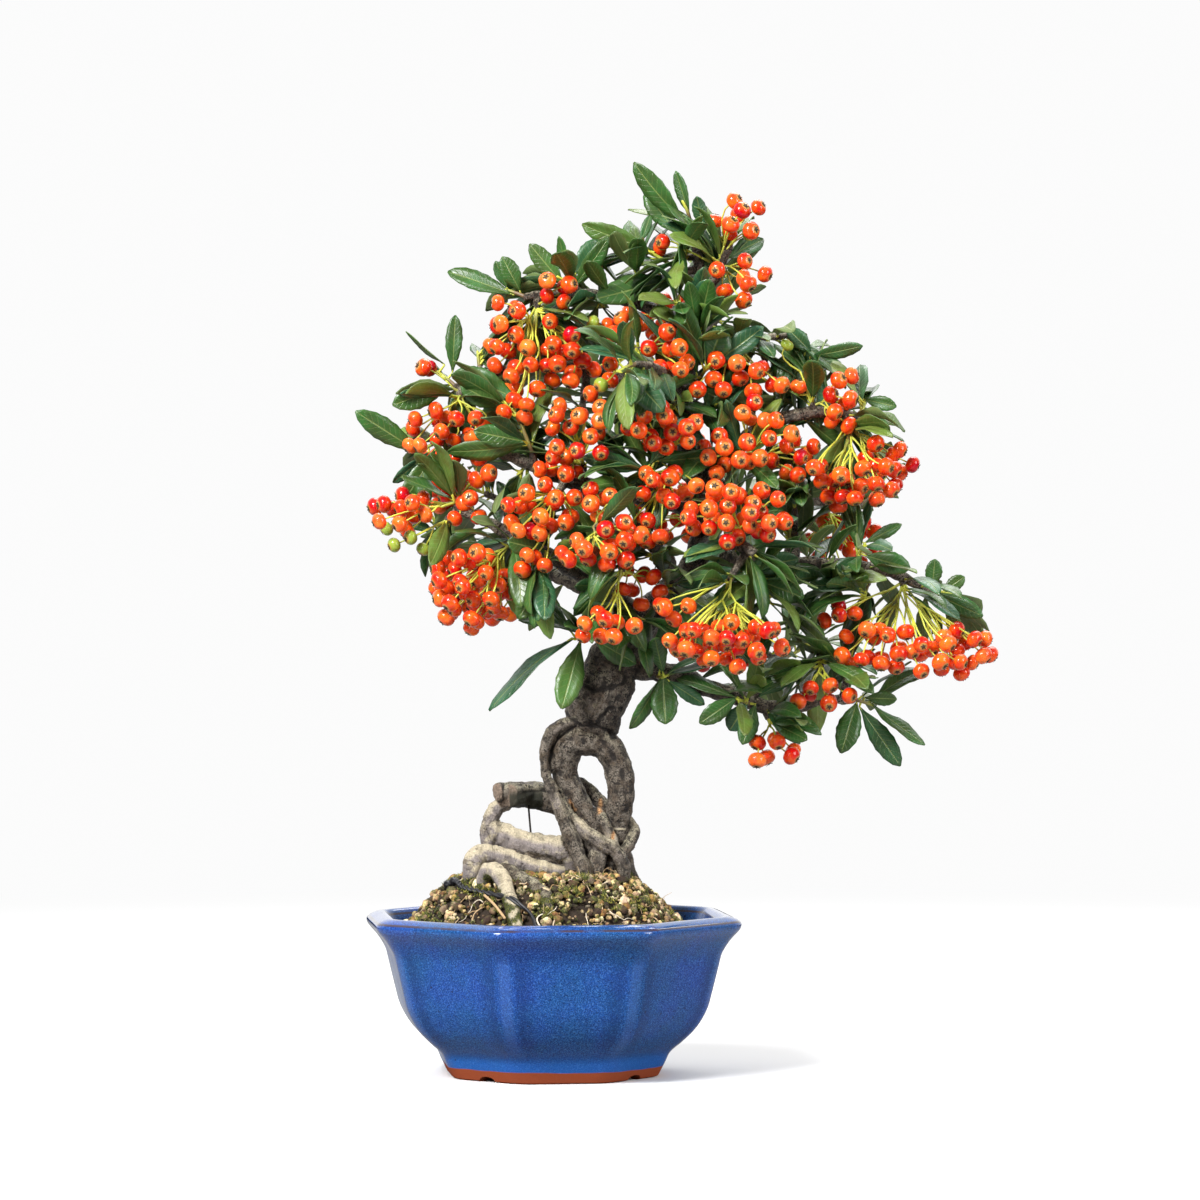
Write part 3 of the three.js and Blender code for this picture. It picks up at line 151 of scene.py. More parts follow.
branches = {
  "leader": [
    [23.4, 0, 163, 9.8], [29, 0, 173, 8], [36, 2, 182, 7], [47, 4, 192, 6], [57, 3, 204, 5.4],
    [61, 0, 217, 5], [60, -3, 232, 4.4], [54.5, -2, 248, 3.9], [53, 2, 264, 3.5], [54, 3, 280, 3],
    [56, 0, 296, 2.6], [59, -2, 312, 2.2], [58, 0, 327, 1.8], [55, 0, 339, 1.3],
  ],
  "lowRight": [
    [27, 0, 167, 6], [34, -1, 163, 4.6], [43, -4, 161, 4], [53, -6, 158.6, 3.7], [62, -8, 154.4, 3.3],
    [72, -10, 151.4, 3], [83, -10, 147.6, 2.6], [95, -8, 146.4, 2.2], [108, -4, 149.4, 1.9],
    [120, -2, 150, 1.4],
  ],
  "midRight": [
    [57, 3, 204, 4.2], [72, -3, 206, 3.6], [88, -7, 204, 3], [106, -8, 204, 2.6], [124, -6, 203, 2.2],
    [140, -3, 199, 1.7], [151, -2, 192, 1.3],
  ],
  "highRight": [
    [60, -3, 234, 3.4], [71, -8, 249, 2.9], [86, -12, 260, 2.5], [100, -14, 264, 2.1],
    [112, -14, 265, 1.7], [121, -12, 263, 1.3],
  ],
  "topRight": [[54.4, 2, 284, 2.2], [68, 0, 290, 1.6], [82, -4, 294, 1.3], [94, -8, 295.4, 1]],
  "crownRight": [[59, -2, 310, 2], [66, -5, 320, 1.7], [71, -7, 334, 1.3]],
  "topLeft": [
    [56, 0, 298, 2.4], [40, -5, 306, 2.1], [22, -8, 311, 1.8], [4, -10, 312, 1.5], [-10, -10, 311, 1.2],
  ],
  "highLeft": [
    [53, 2, 264, 3], [35, -6, 275, 2.7], [14, -12, 282, 2.3], [-8, -14, 283, 1.9], [-26, -10, 280, 1.6],
    [-38, -6, 275, 1.2],
  ],
  "midLeft": [
    [59, -2, 226, 3.8], [41, -10, 230, 3.4], [20, -17, 234, 3], [0, -20, 240, 2.5], [-16, -18, 247, 2.1],
    [-30, -12, 253, 1.7], [-42, -8, 255, 1.3],
  ],
  "lowLeft": [
    [36, 2, 182, 4], [22, -6, 193, 3.4], [6, -14, 203, 2.9], [-8, -20, 211, 2.4], [-22, -20, 219, 2],
    [-38, -14, 226, 1.5],
  ],
  "frontMid": [
    [50, 4, 196, 3.2], [45, -14, 206, 2.7], [38, -32, 214, 2.2], [28, -46, 218, 1.7], [18, -54, 219, 1.3],
  ],
  "frontRight": [[60, 0, 212, 3], [67, -18, 213, 2.6], [74, -36, 212, 2.1], [80, -50, 209, 1.6]],
  "frontHigh": [[53, 2, 268, 2.4], [48, -18, 277, 2.1], [42, -36, 282, 1.7], [34, -48, 284, 1.3]],
  "backLow": [
    [31, 2, 176, 3.6], [44, 24, 178, 3.1], [60, 46, 177, 2.6], [76, 62, 172, 2], [90, 70, 166, 1.4],
  ],
  "backLeft": [
    [36, 2, 182, 3.6], [18, 24, 192, 3.1], [0, 42, 200, 2.6], [-18, 54, 206, 2], [-36, 58, 208, 1.4],
  ],
  "backMid": [[57, 3, 206, 3.6], [62, 26, 214, 3], [66, 50, 219, 2.4], [70, 72, 220, 1.6]],
  "backRight": [[61, 0, 218, 3.4], [80, 20, 226, 2.9], [100, 38, 230, 2.4], [122, 50, 228, 1.6]],
  "backHigh": [[54, -1, 252, 3.2], [46, 24, 262, 2.7], [36, 46, 267, 2.1], [24, 62, 266, 1.4]],
  "backTop": [[55, 2, 288, 2.6], [60, 20, 298, 2.1], [66, 38, 302, 1.4]],
}
# A shoot's leaves at the crown's edge have x and z of the base and of the tip, and the width that shows,
# and "more" is how many others stand round its stem
shoots = {
  "apex": {
    "stem": [[55, 0, 341], [54, -1, 345], [52, -2, 349]],
    "shown": [
      [53.2, 340.2, 32.4, 364.4, 8.8], [54.8, 343.4, 49.2, 361.2, 5], [49.8, 335.6, 37.2, 353.6, 9.6],
      [60.4, 337.8, 57.6, 351.2, 6], [52.6, 330.4, 72, 332, 6],
    ],
    "more": 4,
  },
  "crown_left": {
    "stem": [[50, -4, 322], [42, -6, 327], [35, -8, 331]],
    "shown": [[40.8, 328.8, 11.6, 339.6, 8.8], [35.2, 332.4, 39.2, 343.6, 4], [52.4, 318.8, 16.4, 309.6, 11]],
    "more": 7,
  },
  "top_left": {
    "stem": [[-11, -10, 311], [-15, -9, 312.6], [-19, -8, 314]],
    "shown": [
      [-15.6, 311.6, -42, 321.2, 8], [-12.8, 312.8, -20, 326.8, 8], [-18, 314, -22.8, 325.2, 5],
    ],
    "more": 5,
  },
  "top_mid": {
    "stem": [[10, -10, 314], [6, -12, 317], [2, -13, 319]],
    "shown": [
      [8.4, 314.8, 22.4, 334.4, 7], [4.6, 315.4, -9.2, 332, 8], [8.8, 319.6, 18.8, 333.6, 9],
      [6, 317, 2.8, 335.2, 4],
    ],
    "more": 6,
  },
  "high_left": {
    "stem": [[-38.6, -6, 275], [-42, -5, 278], [-46, -4, 281]],
    "shown": [
      [-40, 280.4, -38.8, 303.6, 7], [-43.2, 283.6, -59.2, 296.4, 1.6], [-41.2, 275.6, -64, 267.6, 10.4],
      [-38.4, 273.8, -38, 260.4, 7],
    ],
    "more": 3,
  },
  "high_left_inner": {
    "stem": [[-8, -24, 248], [-11, -26, 256], [-15, -23, 265], [-20, -18, 269]],
    "shown": [
      [-14, 270.2, -39.2, 280.8, 12], [-20.2, 266.4, -36.4, 275.6, 9], [-9.2, 252.6, -31.6, 257.2, 9],
      [-10.2, 251.6, -42, 249, 8],
    ],
    "more": 8,
  },
  "left": {
    "stem": [[-43, -8, 255], [-48, -7, 252], [-53, -6, 249]],
    "shown": [
      [-53.2, 248.6, -78.8, 265.2, 9.6], [-46.4, 250.6, -61.2, 226.8, 8], [-49.2, 249.2, -64, 236.8, 5],
    ],
    "more": 5,
  },
  "low_left": {
    "stem": [[-2, -26, 206], [-4, -30, 205], [-8, -34, 204]],
    "shown": [[-1.2, 204, -13.8, 182, 10.5], [-7, 204.2, -16.8, 190.4, 8], [-2.4, 209.2, -18.2, 213.2, 9]],
    "more": 8,
  },
  "skirt_left": {
    "stem": [[16, -12, 176], [13, -14, 175], [9, -16, 174]],
    "shown": [
      [7.8, 174.4, -25.2, 145.2, 5.5], [11.2, 173.4, 3.6, 146, 11], [16.6, 174, 33.2, 164.2, 9],
    ],
    "more": 4,
  },
  "skirt_mid": {
    "stem": [[42, -8, 159], [43, -12, 158.6], [45, -16, 159]],
    "shown": [[44.2, 160.2, 45.2, 139.8, 11], [43.4, 158.4, 31.2, 138, 6], [46, 157.6, 60.8, 147.8, 6]],
    "more": 4,
  },
  "skirt_right": {
    "stem": [[79, -14, 148], [77, -17, 149], [74, -20, 150]],
    "shown": [[74, 150.8, 58.8, 140.4, 8], [77.8, 148.6, 70.8, 137.4, 9], [81.2, 148, 76, 131.8, 8]],
    "more": 5,
  },
  "low_right": {
    "stem": [[120.6, -2, 150], [124, -1, 149], [128, 0, 147.6]],
    "shown": [
      [122.8, 147, 139.2, 123.2, 9], [121.8, 149, 115.6, 128.8, 10], [127.4, 148, 149.2, 132, 5],
      [124.8, 150.6, 137.8, 150, 6],
    ],
    "more": 5,
  },
  "far_right": {
    "stem": [[151.4, -2, 192.6], [155, -1, 193], [160, 0, 192]],
    "shown": [
      [152.2, 192.6, 172, 183.2, 8], [151.8, 194, 153, 206, 7], [156, 193, 164.8, 199, 6],
    ],
    "more": 6,
  },
  "right": {
    "stem": [[122, -9, 206], [123, -12, 209], [125, -15, 212]],
    "shown": [
      [124.8, 207.6, 143, 202.4, 9], [122.8, 207.2, 112.2, 197.8, 9], [123.6, 209.6, 118, 231.6, 8],
      [124.8, 212.4, 139.6, 220, 5],
    ],
    "more": 6,
  },
  "mid_right": {
    "stem": [[78, -10, 202], [79, -20, 200], [81, -30, 199], [84, -38, 198]],
    "shown": [
      [76.4, 202.4, 98.4, 206, 9], [80.8, 199.2, 108, 200.8, 9], [76.8, 201.6, 50.2, 196.4, 9],
      [82, 197.6, 100.6, 190.6, 10], [80.6, 198.6, 66.6, 186.4, 8],
    ],
    "more": 9,
  },
  "high_right": {
    "stem": [[94.6, -8, 295.2], [99, -8, 292], [104, -8, 288]],
    "shown": [
      [103.6, 287.4, 124.2, 291.6, 6], [103.6, 288.6, 94, 298.4, 7], [98.8, 290.6, 94.4, 271.6, 12],
    ],
    "more": 4,
  },
  "right_edge": {
    "stem": [[121.6, -12, 263], [124, -11, 266], [125, -10, 269]],
    "shown": [[124.4, 270, 137.6, 267, 6], [123, 263.6, 135, 256.6, 7]],
    "more": 5,
  },
  "upper_mid": {
    "stem": [[58, -8, 276], [60, -16, 280], [63, -24, 284]],
    "shown": [
      [64, 283.6, 84.4, 298.8, 9], [57.6, 274.2, 76.4, 266.6, 10], [55.6, 276.4, 41.8, 290, 11],
      [62, 283, 68, 299, 12],
    ],
    "more": 7,
  },
  "centre": {
    "stem": [[40, -22, 236], [39, -32, 240], [38, -42, 243]],
    "shown": [
      [40.8, 245.2, 74.8, 249.2, 8], [36.8, 242, 12.2, 246.8, 8], [38.2, 243, 52.6, 262.4, 7],
      [38.2, 240.6, 21.2, 226.4, 8],
    ],
    "more": 10,
  },
  "front_high": {
    "stem": [[33.4, -48, 284], [30, -52, 283], [26, -56, 281]],
    "shown": [[29.6, 281.8, 44.6, 264.8, 11]],
    "more": 8,
  },
  "back_low": {
    "stem": [[91, 70, 166], [96, 73, 168], [101, 75, 171], [106, 76, 174]],
    "shown": [], "more": 13,
  },
  "back_left": {
    "stem": [[-37, 58, 208], [-42, 60, 213], [-46, 62, 219], [-49, 62, 225]],
    "shown": [], "more": 13,
  },
  "back_mid": {
    "stem": [[70.4, 73, 220], [73, 78, 224], [76, 83, 229], [79, 86, 234]],
    "shown": [], "more": 14,
  },
  "back_right": {
    "stem": [[123, 50, 228], [128, 52, 232], [132, 53, 237], [134, 54, 243]],
    "shown": [], "more": 13,
  },
  "back_high": {
    "stem": [[23, 62, 266], [18, 64, 271], [13, 65, 277], [9, 65, 283]],
    "shown": [], "more": 14,
  },
  "back_top": {
    "stem": [[66.6, 39, 302.6], [69, 42, 308], [71, 44, 314], [71, 44, 320]],
    "shown": [], "more": 13,
  },
}
# A bunch starts on its branch, and each of its parts has a middle, three half sizes and a number of berries
bunches = {
  "crown": {
    "from": [66, -6, 324],
    "parts": [[74, -12, 343, 11, 8, 9, 10], [75, -12, 318, 12, 7, 9, 8], [45, -8, 332, 5, 5, 5, 4]],
  },
  "top_left": {
    "from": [-6, -13, 307],
    "parts": [[-18, -20, 291, 9.5, 9, 19, 22], [3, -24, 288, 12, 9, 15, 22], [2, -20, 314, 7, 6, 6, 6]],
  },
  "upper_mid": {
    "from": [34, -14, 290],
    "parts": [[47, -26, 288, 9, 8, 10, 9], [24, -20, 300, 9, 6, 7, 7], [19, -26, 279, 8, 8, 8, 6]],
  },
  "high_left": {
    "from": [-37, -9, 272],
    "parts": [[-49, -12, 257, 11, 9, 9, 13], [-32, -14, 257, 7, 6, 4, 4], [-49, -9, 282, 5, 6, 5, 5]],
  },
  "front_left": {
    "from": [12, -22, 244],
    "parts": [[10, -34, 262, 15, 9, 7, 15], [3, -30, 243, 10, 8, 6, 9]],
  },
  "left": {
    "from": [-38, -15, 229],
    "parts": [[-60, -12, 225, 11.5, 9, 9.5, 15], [-29, -20, 242, 5, 5, 7, 4], [-34, -20, 226, 8, 6, 6, 6]],
  },
  "mid_left": {"from": [3, -28, 234], "parts": [[-5, -40, 226, 16, 10, 11, 23]]},
  "low_left": {"from": [-16, -22, 213], "parts": [[-32.6, -27, 194, 17, 14, 16, 40]]},
  "front_mid": {
    "from": [17.4, -54, 218.6],
    "parts": [[16, -56, 208, 15, 9, 8, 16], [19, -50, 228, 7, 6, 8, 5]],
  },
  "front_centre": {
    "from": [47, -28, 243],
    "parts": [[46, -44, 235, 12, 10, 8, 14], [35, -42, 217, 11, 8, 6, 8], [44, -46, 259, 14, 9, 9, 17]],
  },
  "front_right": {"from": [76, -38, 215], "parts": [[74, -52, 224, 21, 11, 12, 28]]},
  "centre_right": {
    "from": [76, -16, 246],
    "parts": [[70, -34, 248, 14, 9, 8, 15], [99, -22, 248, 12, 9, 9, 13], [80, -26, 265, 7, 6, 6, 5]],
  },
  "upper_right": {"from": [74, -6, 292], "parts": [[74, -18, 281, 14, 8, 6, 14]]},
  "low_mid": {
    "from": [28, -38, 202],
    "parts": [[20.6, -52, 179, 12.5, 9, 6.2, 13], [35, -26, 196, 9, 8, 9, 10]],
  },
  "low_right": {
    "from": [71, -46, 198],
    "parts": [[70, -60, 171.5, 25, 12, 9, 31], [50, -52, 186, 8, 7, 4, 6]],
  },
  "skirt_right": {"from": [107, -12, 166], "parts": [[108, -22, 151, 13, 8, 5, 11]]},
  "skirt_mid": {"from": [86, -12, 143], "parts": [[90, -18, 129.5, 11.5, 7, 6, 9]]},
  "far_right": {
    "from": [140, -5, 196],
    "parts": [[133, -16, 170, 19, 11, 10, 26], [162, -8, 169, 15, 10, 10, 21], [114, -14, 184, 7, 6, 6, 5]],
  },
  "high_right": {
    "from": [104, -15, 268],
    "parts": [[116, -18, 270, 6, 7, 14, 13], [99, -16, 275, 6, 5, 5, 4], [94, -14, 294, 5, 5, 4, 3]],
  },
  "right": {
    "from": [118, -15, 260],
    "parts": [[134, -20, 243, 10, 12, 11, 21], [120, -20, 233, 12, 12, 7, 16]],
  },
  "back_low": {"from": [70, 60, 178], "parts": [[66, 76, 172, 18, 11, 12, 22]]},
  "back_left": {"from": [-8, 50, 202], "parts": [[-20, 68, 195, 17, 12, 14, 24]]},
  "back_mid": {"from": [62, 58, 221], "parts": [[48, 78, 224, 18, 12, 12, 22]]},
  "back_right": {"from": [110, 46, 226], "parts": [[116, 60, 212, 18, 12, 12, 22]]},
  "back_high": {"from": [34, 50, 270], "parts": [[44, 66, 258, 17, 11, 11, 20]]},
  "back_top": {"from": [60, 30, 303], "parts": [[44, 38, 303, 14, 10, 11, 15]]},
  "left_unripe": {"from": [-42, -16, 222], "parts": [[-55, -20, 213, 9, 5, 4, 3]], "unripe": True},
  "left_back": {"from": [-26, 30, 232], "parts": [[-44, 34, 238, 13, 13, 12, 16]]},
}
tieWire = [
  [-42, -8, 75.8], [-38.8, -14, 77.4], [-35.7, -22, 74.8], [-28.6, -31, 73], [-23, -37, 71.8],
  [-17, -43.4, 70.4], [-12.6, -46.4, 67.4], [-8.4, -48, 63.6], [-6, -49, 57],
]
wireTwist = [  # the small loops at the tie wire's end
  [-42, -8, 75.8, 1.9], [-39.6, -12.6, 77.2, 1.8],
]
guyWire = [[-9.6, -2.4, 107.2], [-9.2, -3.6, 102], [-8.7, -5.8, 96.5]]
crownEdge = [  # x and z as the camera sees them
  [35, 351], [55, 350], [79, 354], [90, 327], [86, 313], [77, 304], [96, 298], [120, 291], [132, 271],
  [143, 258], [144, 241], [133, 222], [141, 207], [161, 195], [178, 178], [171, 163], [150, 154],
  [131, 148], [119, 140], [99, 131], [75, 134], [59, 142], [41, 150], [28, 158], [2, 164], [-4, 172],
  [-16, 184], [-22, 174], [-34, 174], [-50, 188], [-53, 202], [-68, 217], [-71, 230], [-60, 242],
  [-65, 262], [-63, 275], [-50, 290], [-34, 294], [-26, 312], [-12, 322], [3, 331], [19, 335],
]


def seeded(seed):  # a run of random numbers that is the same each time
    state = (seed * 7919 + 12345) % 4294967296

    def draw():
        nonlocal state
        state = (state * 1664525 + 1013904223) % 4294967296
        return state / 4294967296
    draw()
    return draw


def placed(points):  # places of the plan, moved to their own depth
    points = np.array(points, float)
    reach = ((points[..., 1] - eye[1]) / -eye[1])[..., None]
    points[..., 0:3:2] = eye[0:3:2] + (points[..., 0:3:2] - eye[0:3:2]) * reach
    return points


def insideCrown(point):  # whether a point lies inside the crown's edge as seen from the camera
    reach = (point[1] - eye[1]) / -eye[1]
    x, z = eye[0::2] + (point[0::2] - eye[0::2]) / reach
    inside = False
    for (x0, z0), (x1, z1) in zip(crownEdge[-1:] + crownEdge[:-1], crownEdge):
        if (z0 > z) != (z1 > z) and x < x0 + (z - z0) * (x1 - x0) / (z1 - z0):
            inside = not inside
    return inside


def curveThrough(points, t):  # Catmull-Rom
    points = np.asarray(points, float)
    ends = np.vstack([2 * points[0] - points[1], points, 2 * points[-1] - points[-2]])
    where = np.clip(np.atleast_1d(t), 0, 1) * (len(points) - 1)
    k = np.minimum(where.astype(int), len(points) - 2)
    u = (where - k)[:, None]
    a, b, c, d = (ends[k + i] for i in range(4))
    return b + 0.5 * u * (c - a + u * (2 * a - 5 * b + 4 * c - d + u * (3 * (b - c) + d - a)))


def evenly(points, step):  # the curve in equal steps of about this length
    fine = curveThrough(points, np.linspace(0, 1, 24 * len(points)))
    run = np.concatenate([[0], np.cumsum(np.linalg.norm(np.diff(fine[:, :3], axis=0), axis=1))])
    count = max(3, int(run[-1] / step) + 1)
    at = np.linspace(0, run[-1], count)
    return np.column_stack([np.interp(at, run, column) for column in fine.T])


def unit(vector):
    return vector / np.maximum(np.linalg.norm(vector, axis=-1, keepdims=True), 1e-9)


def facing(angle):  # the level direction at this angle
    return np.array([math.cos(angle), math.sin(angle)])


def bowed(start, lean, end, t):  # a curve from start to end, drawn towards a third point
    return (1 - t) ** 2 * start + 2 * t * (1 - t) * lean + t ** 2 * end


def treeOf(points):  # for finding the nearest of some points
    tree = KDTree(len(points))
    for i, point in enumerate(points):
        tree.insert(point, i)
    tree.balance()
    return tree


def turned(vector, axis, angle):  # a vector turned about an axis
    axis = unit(axis)
    cos, sin = math.cos(angle), math.sin(angle)
    return vector * cos + np.cross(axis, vector) * sin + axis * (axis @ vector) * (1 - cos)


def waves(points, size, seed):  # smooth lumps between about -1 and 1, of about this size
    rng = np.random.default_rng(seed)
    total = np.zeros(len(points))
    for _ in range(7):
        direction = unit(rng.normal(size=3)) * 2 * math.pi / (size * rng.uniform(0.75, 1.5))
        total += np.sin(points @ direction + rng.uniform(0, 2 * math.pi))
    return total / 3.2


firstSide = np.array([0.31, 0.9, 0.29])  # sideways, until it is squared to a path


class Shape:  # points and faces of one piece, with a value or three per point for the materials
    def __init__(self):
        self.points, self.faces, self.slots, self.values, self.count = [], [], [], [], 0

    def add(self, points, faces, slot=0, **values):
        self.points.append(points)
        self.faces += [[corner + self.count for corner in face] for face in faces]
        self.slots += [slot] * len(faces)
        self.values.append((self.count, len(points), values))
        self.count += len(points)


def makeMesh(name, shape):
    mesh = bpy.data.meshes.new(name)
    points = np.vstack(shape.points) / perMetre + potMiddle
    mesh.from_pydata(points.tolist(), [], shape.faces)
    mesh.polygons.foreach_set("material_index", shape.slots)
    mesh.polygons.foreach_set("use_smooth", [True] * len(shape.faces))
    for key in {key for _, _, values in shape.values for key in values}:
        wide = any(np.ndim(values.get(key, 0)) == 2 for _, _, values in shape.values)
        filled = np.zeros((shape.count, 3) if wide else shape.count)
        for start, count, values in shape.values:
            if key in values:
                filled[start:start + count] = values[key]
        attribute = mesh.attributes.new(key, "FLOAT_VECTOR" if wide else "FLOAT", "POINT")
        attribute.data.foreach_set("vector" if wide else "value", filled.ravel())
    mesh.update()
    return mesh


def makePiece(name, shape, materials, nodes):
    mesh = shape if isinstance(shape, bpy.types.Mesh) else makeMesh(name, shape)
    for material in materials:
        mesh.materials.append(material)
    piece = linked(name, mesh)
    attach(piece, "root")
    if nodes:
        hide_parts(*nodes)
    return piece


def modified(name, shape, *steps):  # the mesh that modifiers make of a shape
    mesh = shape if isinstance(shape, bpy.types.Mesh) else makeMesh(name, shape)
    draft = linked(name + "_work", mesh)
    for kind, settings in steps:
        modifier = draft.modifiers.new(kind.lower(), kind)
        for key, value in settings.items():
            setattr(modifier, key, value)
    result = bpy.data.meshes.new_from_object(draft.evaluated_get(bpy.context.evaluated_depsgraph_get()))
    result.name = name
    bpy.data.objects.remove(draft)
    return result


def tube(path, radius, sides, roundEnds=2):  # rings along a path, with ends rounded in this many rings
    path = np.asarray(path, float)
    radius = np.broadcast_to(radius, len(path)).astype(float)
    tangents = unit(np.gradient(path, axis=0))
    if roundEnds:
        steps = np.sin(np.linspace(0, math.pi / 2, roundEnds + 2))[1:-1]
        for end in (0, -1):
            outward = tangents[end] * (-1 if end == 0 else 1)
            caps = path[end] + np.outer(steps, outward) * radius[end]
            sizes = radius[end] * np.sqrt(1 - steps ** 2)
            if end == 0:
                path, radius = np.vstack([caps[::-1], path]), np.concatenate([sizes[::-1], radius])
                tangents = np.vstack([np.tile(tangents[0], (len(steps), 1)), tangents])
            else:
                path, radius = np.vstack([path, caps]), np.concatenate([radius, sizes])
                tangents = np.vstack([tangents, np.tile(tangents[-1], (len(steps), 1))])
    side = firstSide
    angles = np.arange(sides) * 2 * math.pi / sides
    rings = []
    for centre, tangent, size in zip(path, tangents, radius):
        side = unit(side - tangent * (side @ tangent))
        other = np.cross(tangent, side)
        rings.append(centre + size * (np.outer(np.cos(angles), side) + np.outer(np.sin(angles), other)))
    run = np.concatenate([[0], np.cumsum(np.linalg.norm(np.diff(path, axis=0), axis=1))])
    ends = [path[0] - tangents[0] * radius[0] * 0.2, path[-1] + tangents[-1] * radius[-1] * 0.2]
    points = np.vstack(rings + [ends])
    faces = gridFaces(len(path), sides)
    first, last, top = len(points) - 2, len(points) - 1, (len(path) - 1) * sides
    for k in range(sides):
        faces.append([first, (k + 1) % sides, k])
        faces.append([last, top + k, top + (k + 1) % sides])
    along = np.concatenate([np.repeat(run, sides), [run[0], run[-1]]])
    return points, faces, along


def addTube(shape, path, radius, sides, roundEnds=2, slot=0, **values):
    points, faces, _ = tube(path, radius, sides, roundEnds)
    shape.add(points, faces, slot, **values)


def gridFaces(rows, around, closed=True):
    return [
        [row * around + k, row * around + (k + 1) % around,
         (row + 1) * around + (k + 1) % around, (row + 1) * around + k]
        for row in range(rows - 1) for k in range(around if closed else around - 1)
    ]


def treeFrom(*values):  # the node tree of the first of these that is a socket
    return next(value.id_data for value in values if isinstance(value, bpy.types.NodeSocket))


def feed(socket, value):
    if isinstance(value, bpy.types.NodeSocket):
        treeFrom(socket).links.new(value, socket)
    elif isinstance(value, (tuple, list)) and socket.type == "RGBA" and len(value) == 3:
        socket.default_value = (*value, 1)
    else:
        socket.default_value = value


def addNode(tree, kind, inputs=None, **settings):
    node = tree.nodes.new("ShaderNode" + kind)
    for key, value in settings.items():
        setattr(node, key, value)
    for key, value in (inputs or {}).items():
        feed(node.inputs[key], value)
    return node


def blend(share, first, second):
    return addNode(treeFrom(share), "Mix", {0: share, 6: first, 7: second}, data_type="RGBA").outputs[2]


def maths(operation, *values):
    return addNode(treeFrom(*values), "Math", dict(enumerate(values)), operation=operation).outputs[0]


def times(first, second):
    return maths("MULTIPLY", first, second)


def plus(first, second):
    return maths("ADD", first, second)


def apart(place):  # the three parts of a vector
    return addNode(treeFrom(place), "SeparateXYZ", {0: place}).outputs


def spread(value, low, high, toLow=0.0, toHigh=1.0):  # the value stretched between two limits
    inputs = {"Value": value, "From Min": low, "From Max": high, "To Min": toLow, "To Max": toHigh}
    return addNode(treeFrom(value), "MapRange", inputs, interpolation_type="SMOOTHSTEP").outputs[0]


def noise(place, scale, detail=3.0, roughness=0.55):
    inputs = {"Vector": place, "Scale": scale, "Detail": detail, "Roughness": roughness}
    return addNode(treeFrom(place), "TexNoise", inputs).outputs[0]


def stretched(place, amounts):  # a place in space, stretched by an amount for each axis
    return addNode(treeFrom(place), "Mapping", {"Vector": place, "Scale": amounts}).outputs[0]


def value(tree, name):
    return addNode(tree, "Attribute", attribute_name=name).outputs["Fac"]


def vector(tree, name):
    return addNode(tree, "Attribute", attribute_name=name).outputs["Vector"]


def objectPlace(tree):
    return addNode(tree, "TexCoord").outputs["Object"]


def bump(height, strength, distance):
    inputs = {"Strength": strength, "Distance": distance, "Height": height}
    return addNode(treeFrom(height), "Bump", inputs).outputs[0]


def newMaterial(name, **constants):  # a material whose plain values are set on its shader
    material = bpy.data.materials.new(name)
    material.use_nodes = True
    tree = material.node_tree
    shader = next(node for node in tree.nodes if node.type == "BSDF_PRINCIPLED")
    for key, constant in constants.items():
        feed(shader.inputs[key], constant)
    return material, tree, shader


def newGroup(name, inputs, outputs):  # a node group with named sockets
    group = bpy.data.node_groups.new(name, "ShaderNodeTree")
    for way, sockets in (("INPUT", inputs), ("OUTPUT", outputs)):
        for label, kind in sockets.items():
            group.interface.new_socket(label, in_out=way, socket_type="NodeSocket" + kind)
    return group, group.nodes.new("NodeGroupInput"), group.nodes.new("NodeGroupOutput")


def useGroup(group, **inputs):
    node = treeFrom(*inputs.values()).nodes.new("ShaderNodeGroup")
    node.node_tree = group
    for key, given in inputs.items():
        feed(node.inputs[key], given)
    return node


# Effects that several materials share
mossLooks = {
    "dark": (0.012, 0.018, 0.005), "light": (0.16, 0.17, 0.025), "clumps": 260.0, "strands": 2200.0,
}
tintGroup, into, out = newGroup(
    "tint", {"Colour": "Color", "Place": "Vector", "Size": "Float", "Amount": "Float"}, {"Colour": "Color"},
)
patch = noise(into.outputs["Place"], into.outputs["Size"], 4.0, 0.6)
shift = times(spread(patch, 0.3, 0.7, -0.5, 0.5), into.outputs["Amount"])
varied = addNode(tintGroup, "HueSaturation", {
    "Hue": plus(times(shift, 0.08), 0.5),
    "Value": plus(shift, 1.0), "Color": into.outputs["Colour"],
})
tintGroup.links.new(varied.outputs[0], out.inputs["Colour"])

speckGroup, into, out = newGroup(
    "specks", {"Place": "Vector", "Size": "Float", "Cover": "Float", "Edge": "Float"}, {"Mask": "Float"},
)
place, size = into.outputs["Place"], into.outputs["Size"]
dots = addNode(speckGroup, "TexVoronoi", {"Vector": place, "Scale": size})
kept = noise(place, times(size, 0.37), 1.0)
reach = times(into.outputs["Cover"], kept)
inside = maths("SUBTRACT", reach, dots.outputs["Distance"])
mask = maths("MAXIMUM", maths("DIVIDE", inside, into.outputs["Edge"]), 0.0)
speckGroup.links.new(maths("MINIMUM", mask, 1.0), out.inputs["Mask"])

mossGroup, into, out = newGroup(
    "moss", {"Colour": "Color", "Place": "Vector", "Cover": "Float"}, {"Colour": "Color"},
)
clumps = noise(into.outputs["Place"], mossLooks["clumps"], 5.0, 0.65)
strands = noise(into.outputs["Place"], mossLooks["strands"], 2.0)
cover = plus(clumps, maths("SUBTRACT", into.outputs["Cover"], 1.0))
mossMask = spread(cover, 0.02, 0.16)
mossColour = blend(spread(strands, 0.38, 0.7), mossLooks["dark"], mossLooks["light"])
mossGroup.links.new(blend(mossMask, into.outputs["Colour"], mossColour), out.inputs["Colour"])


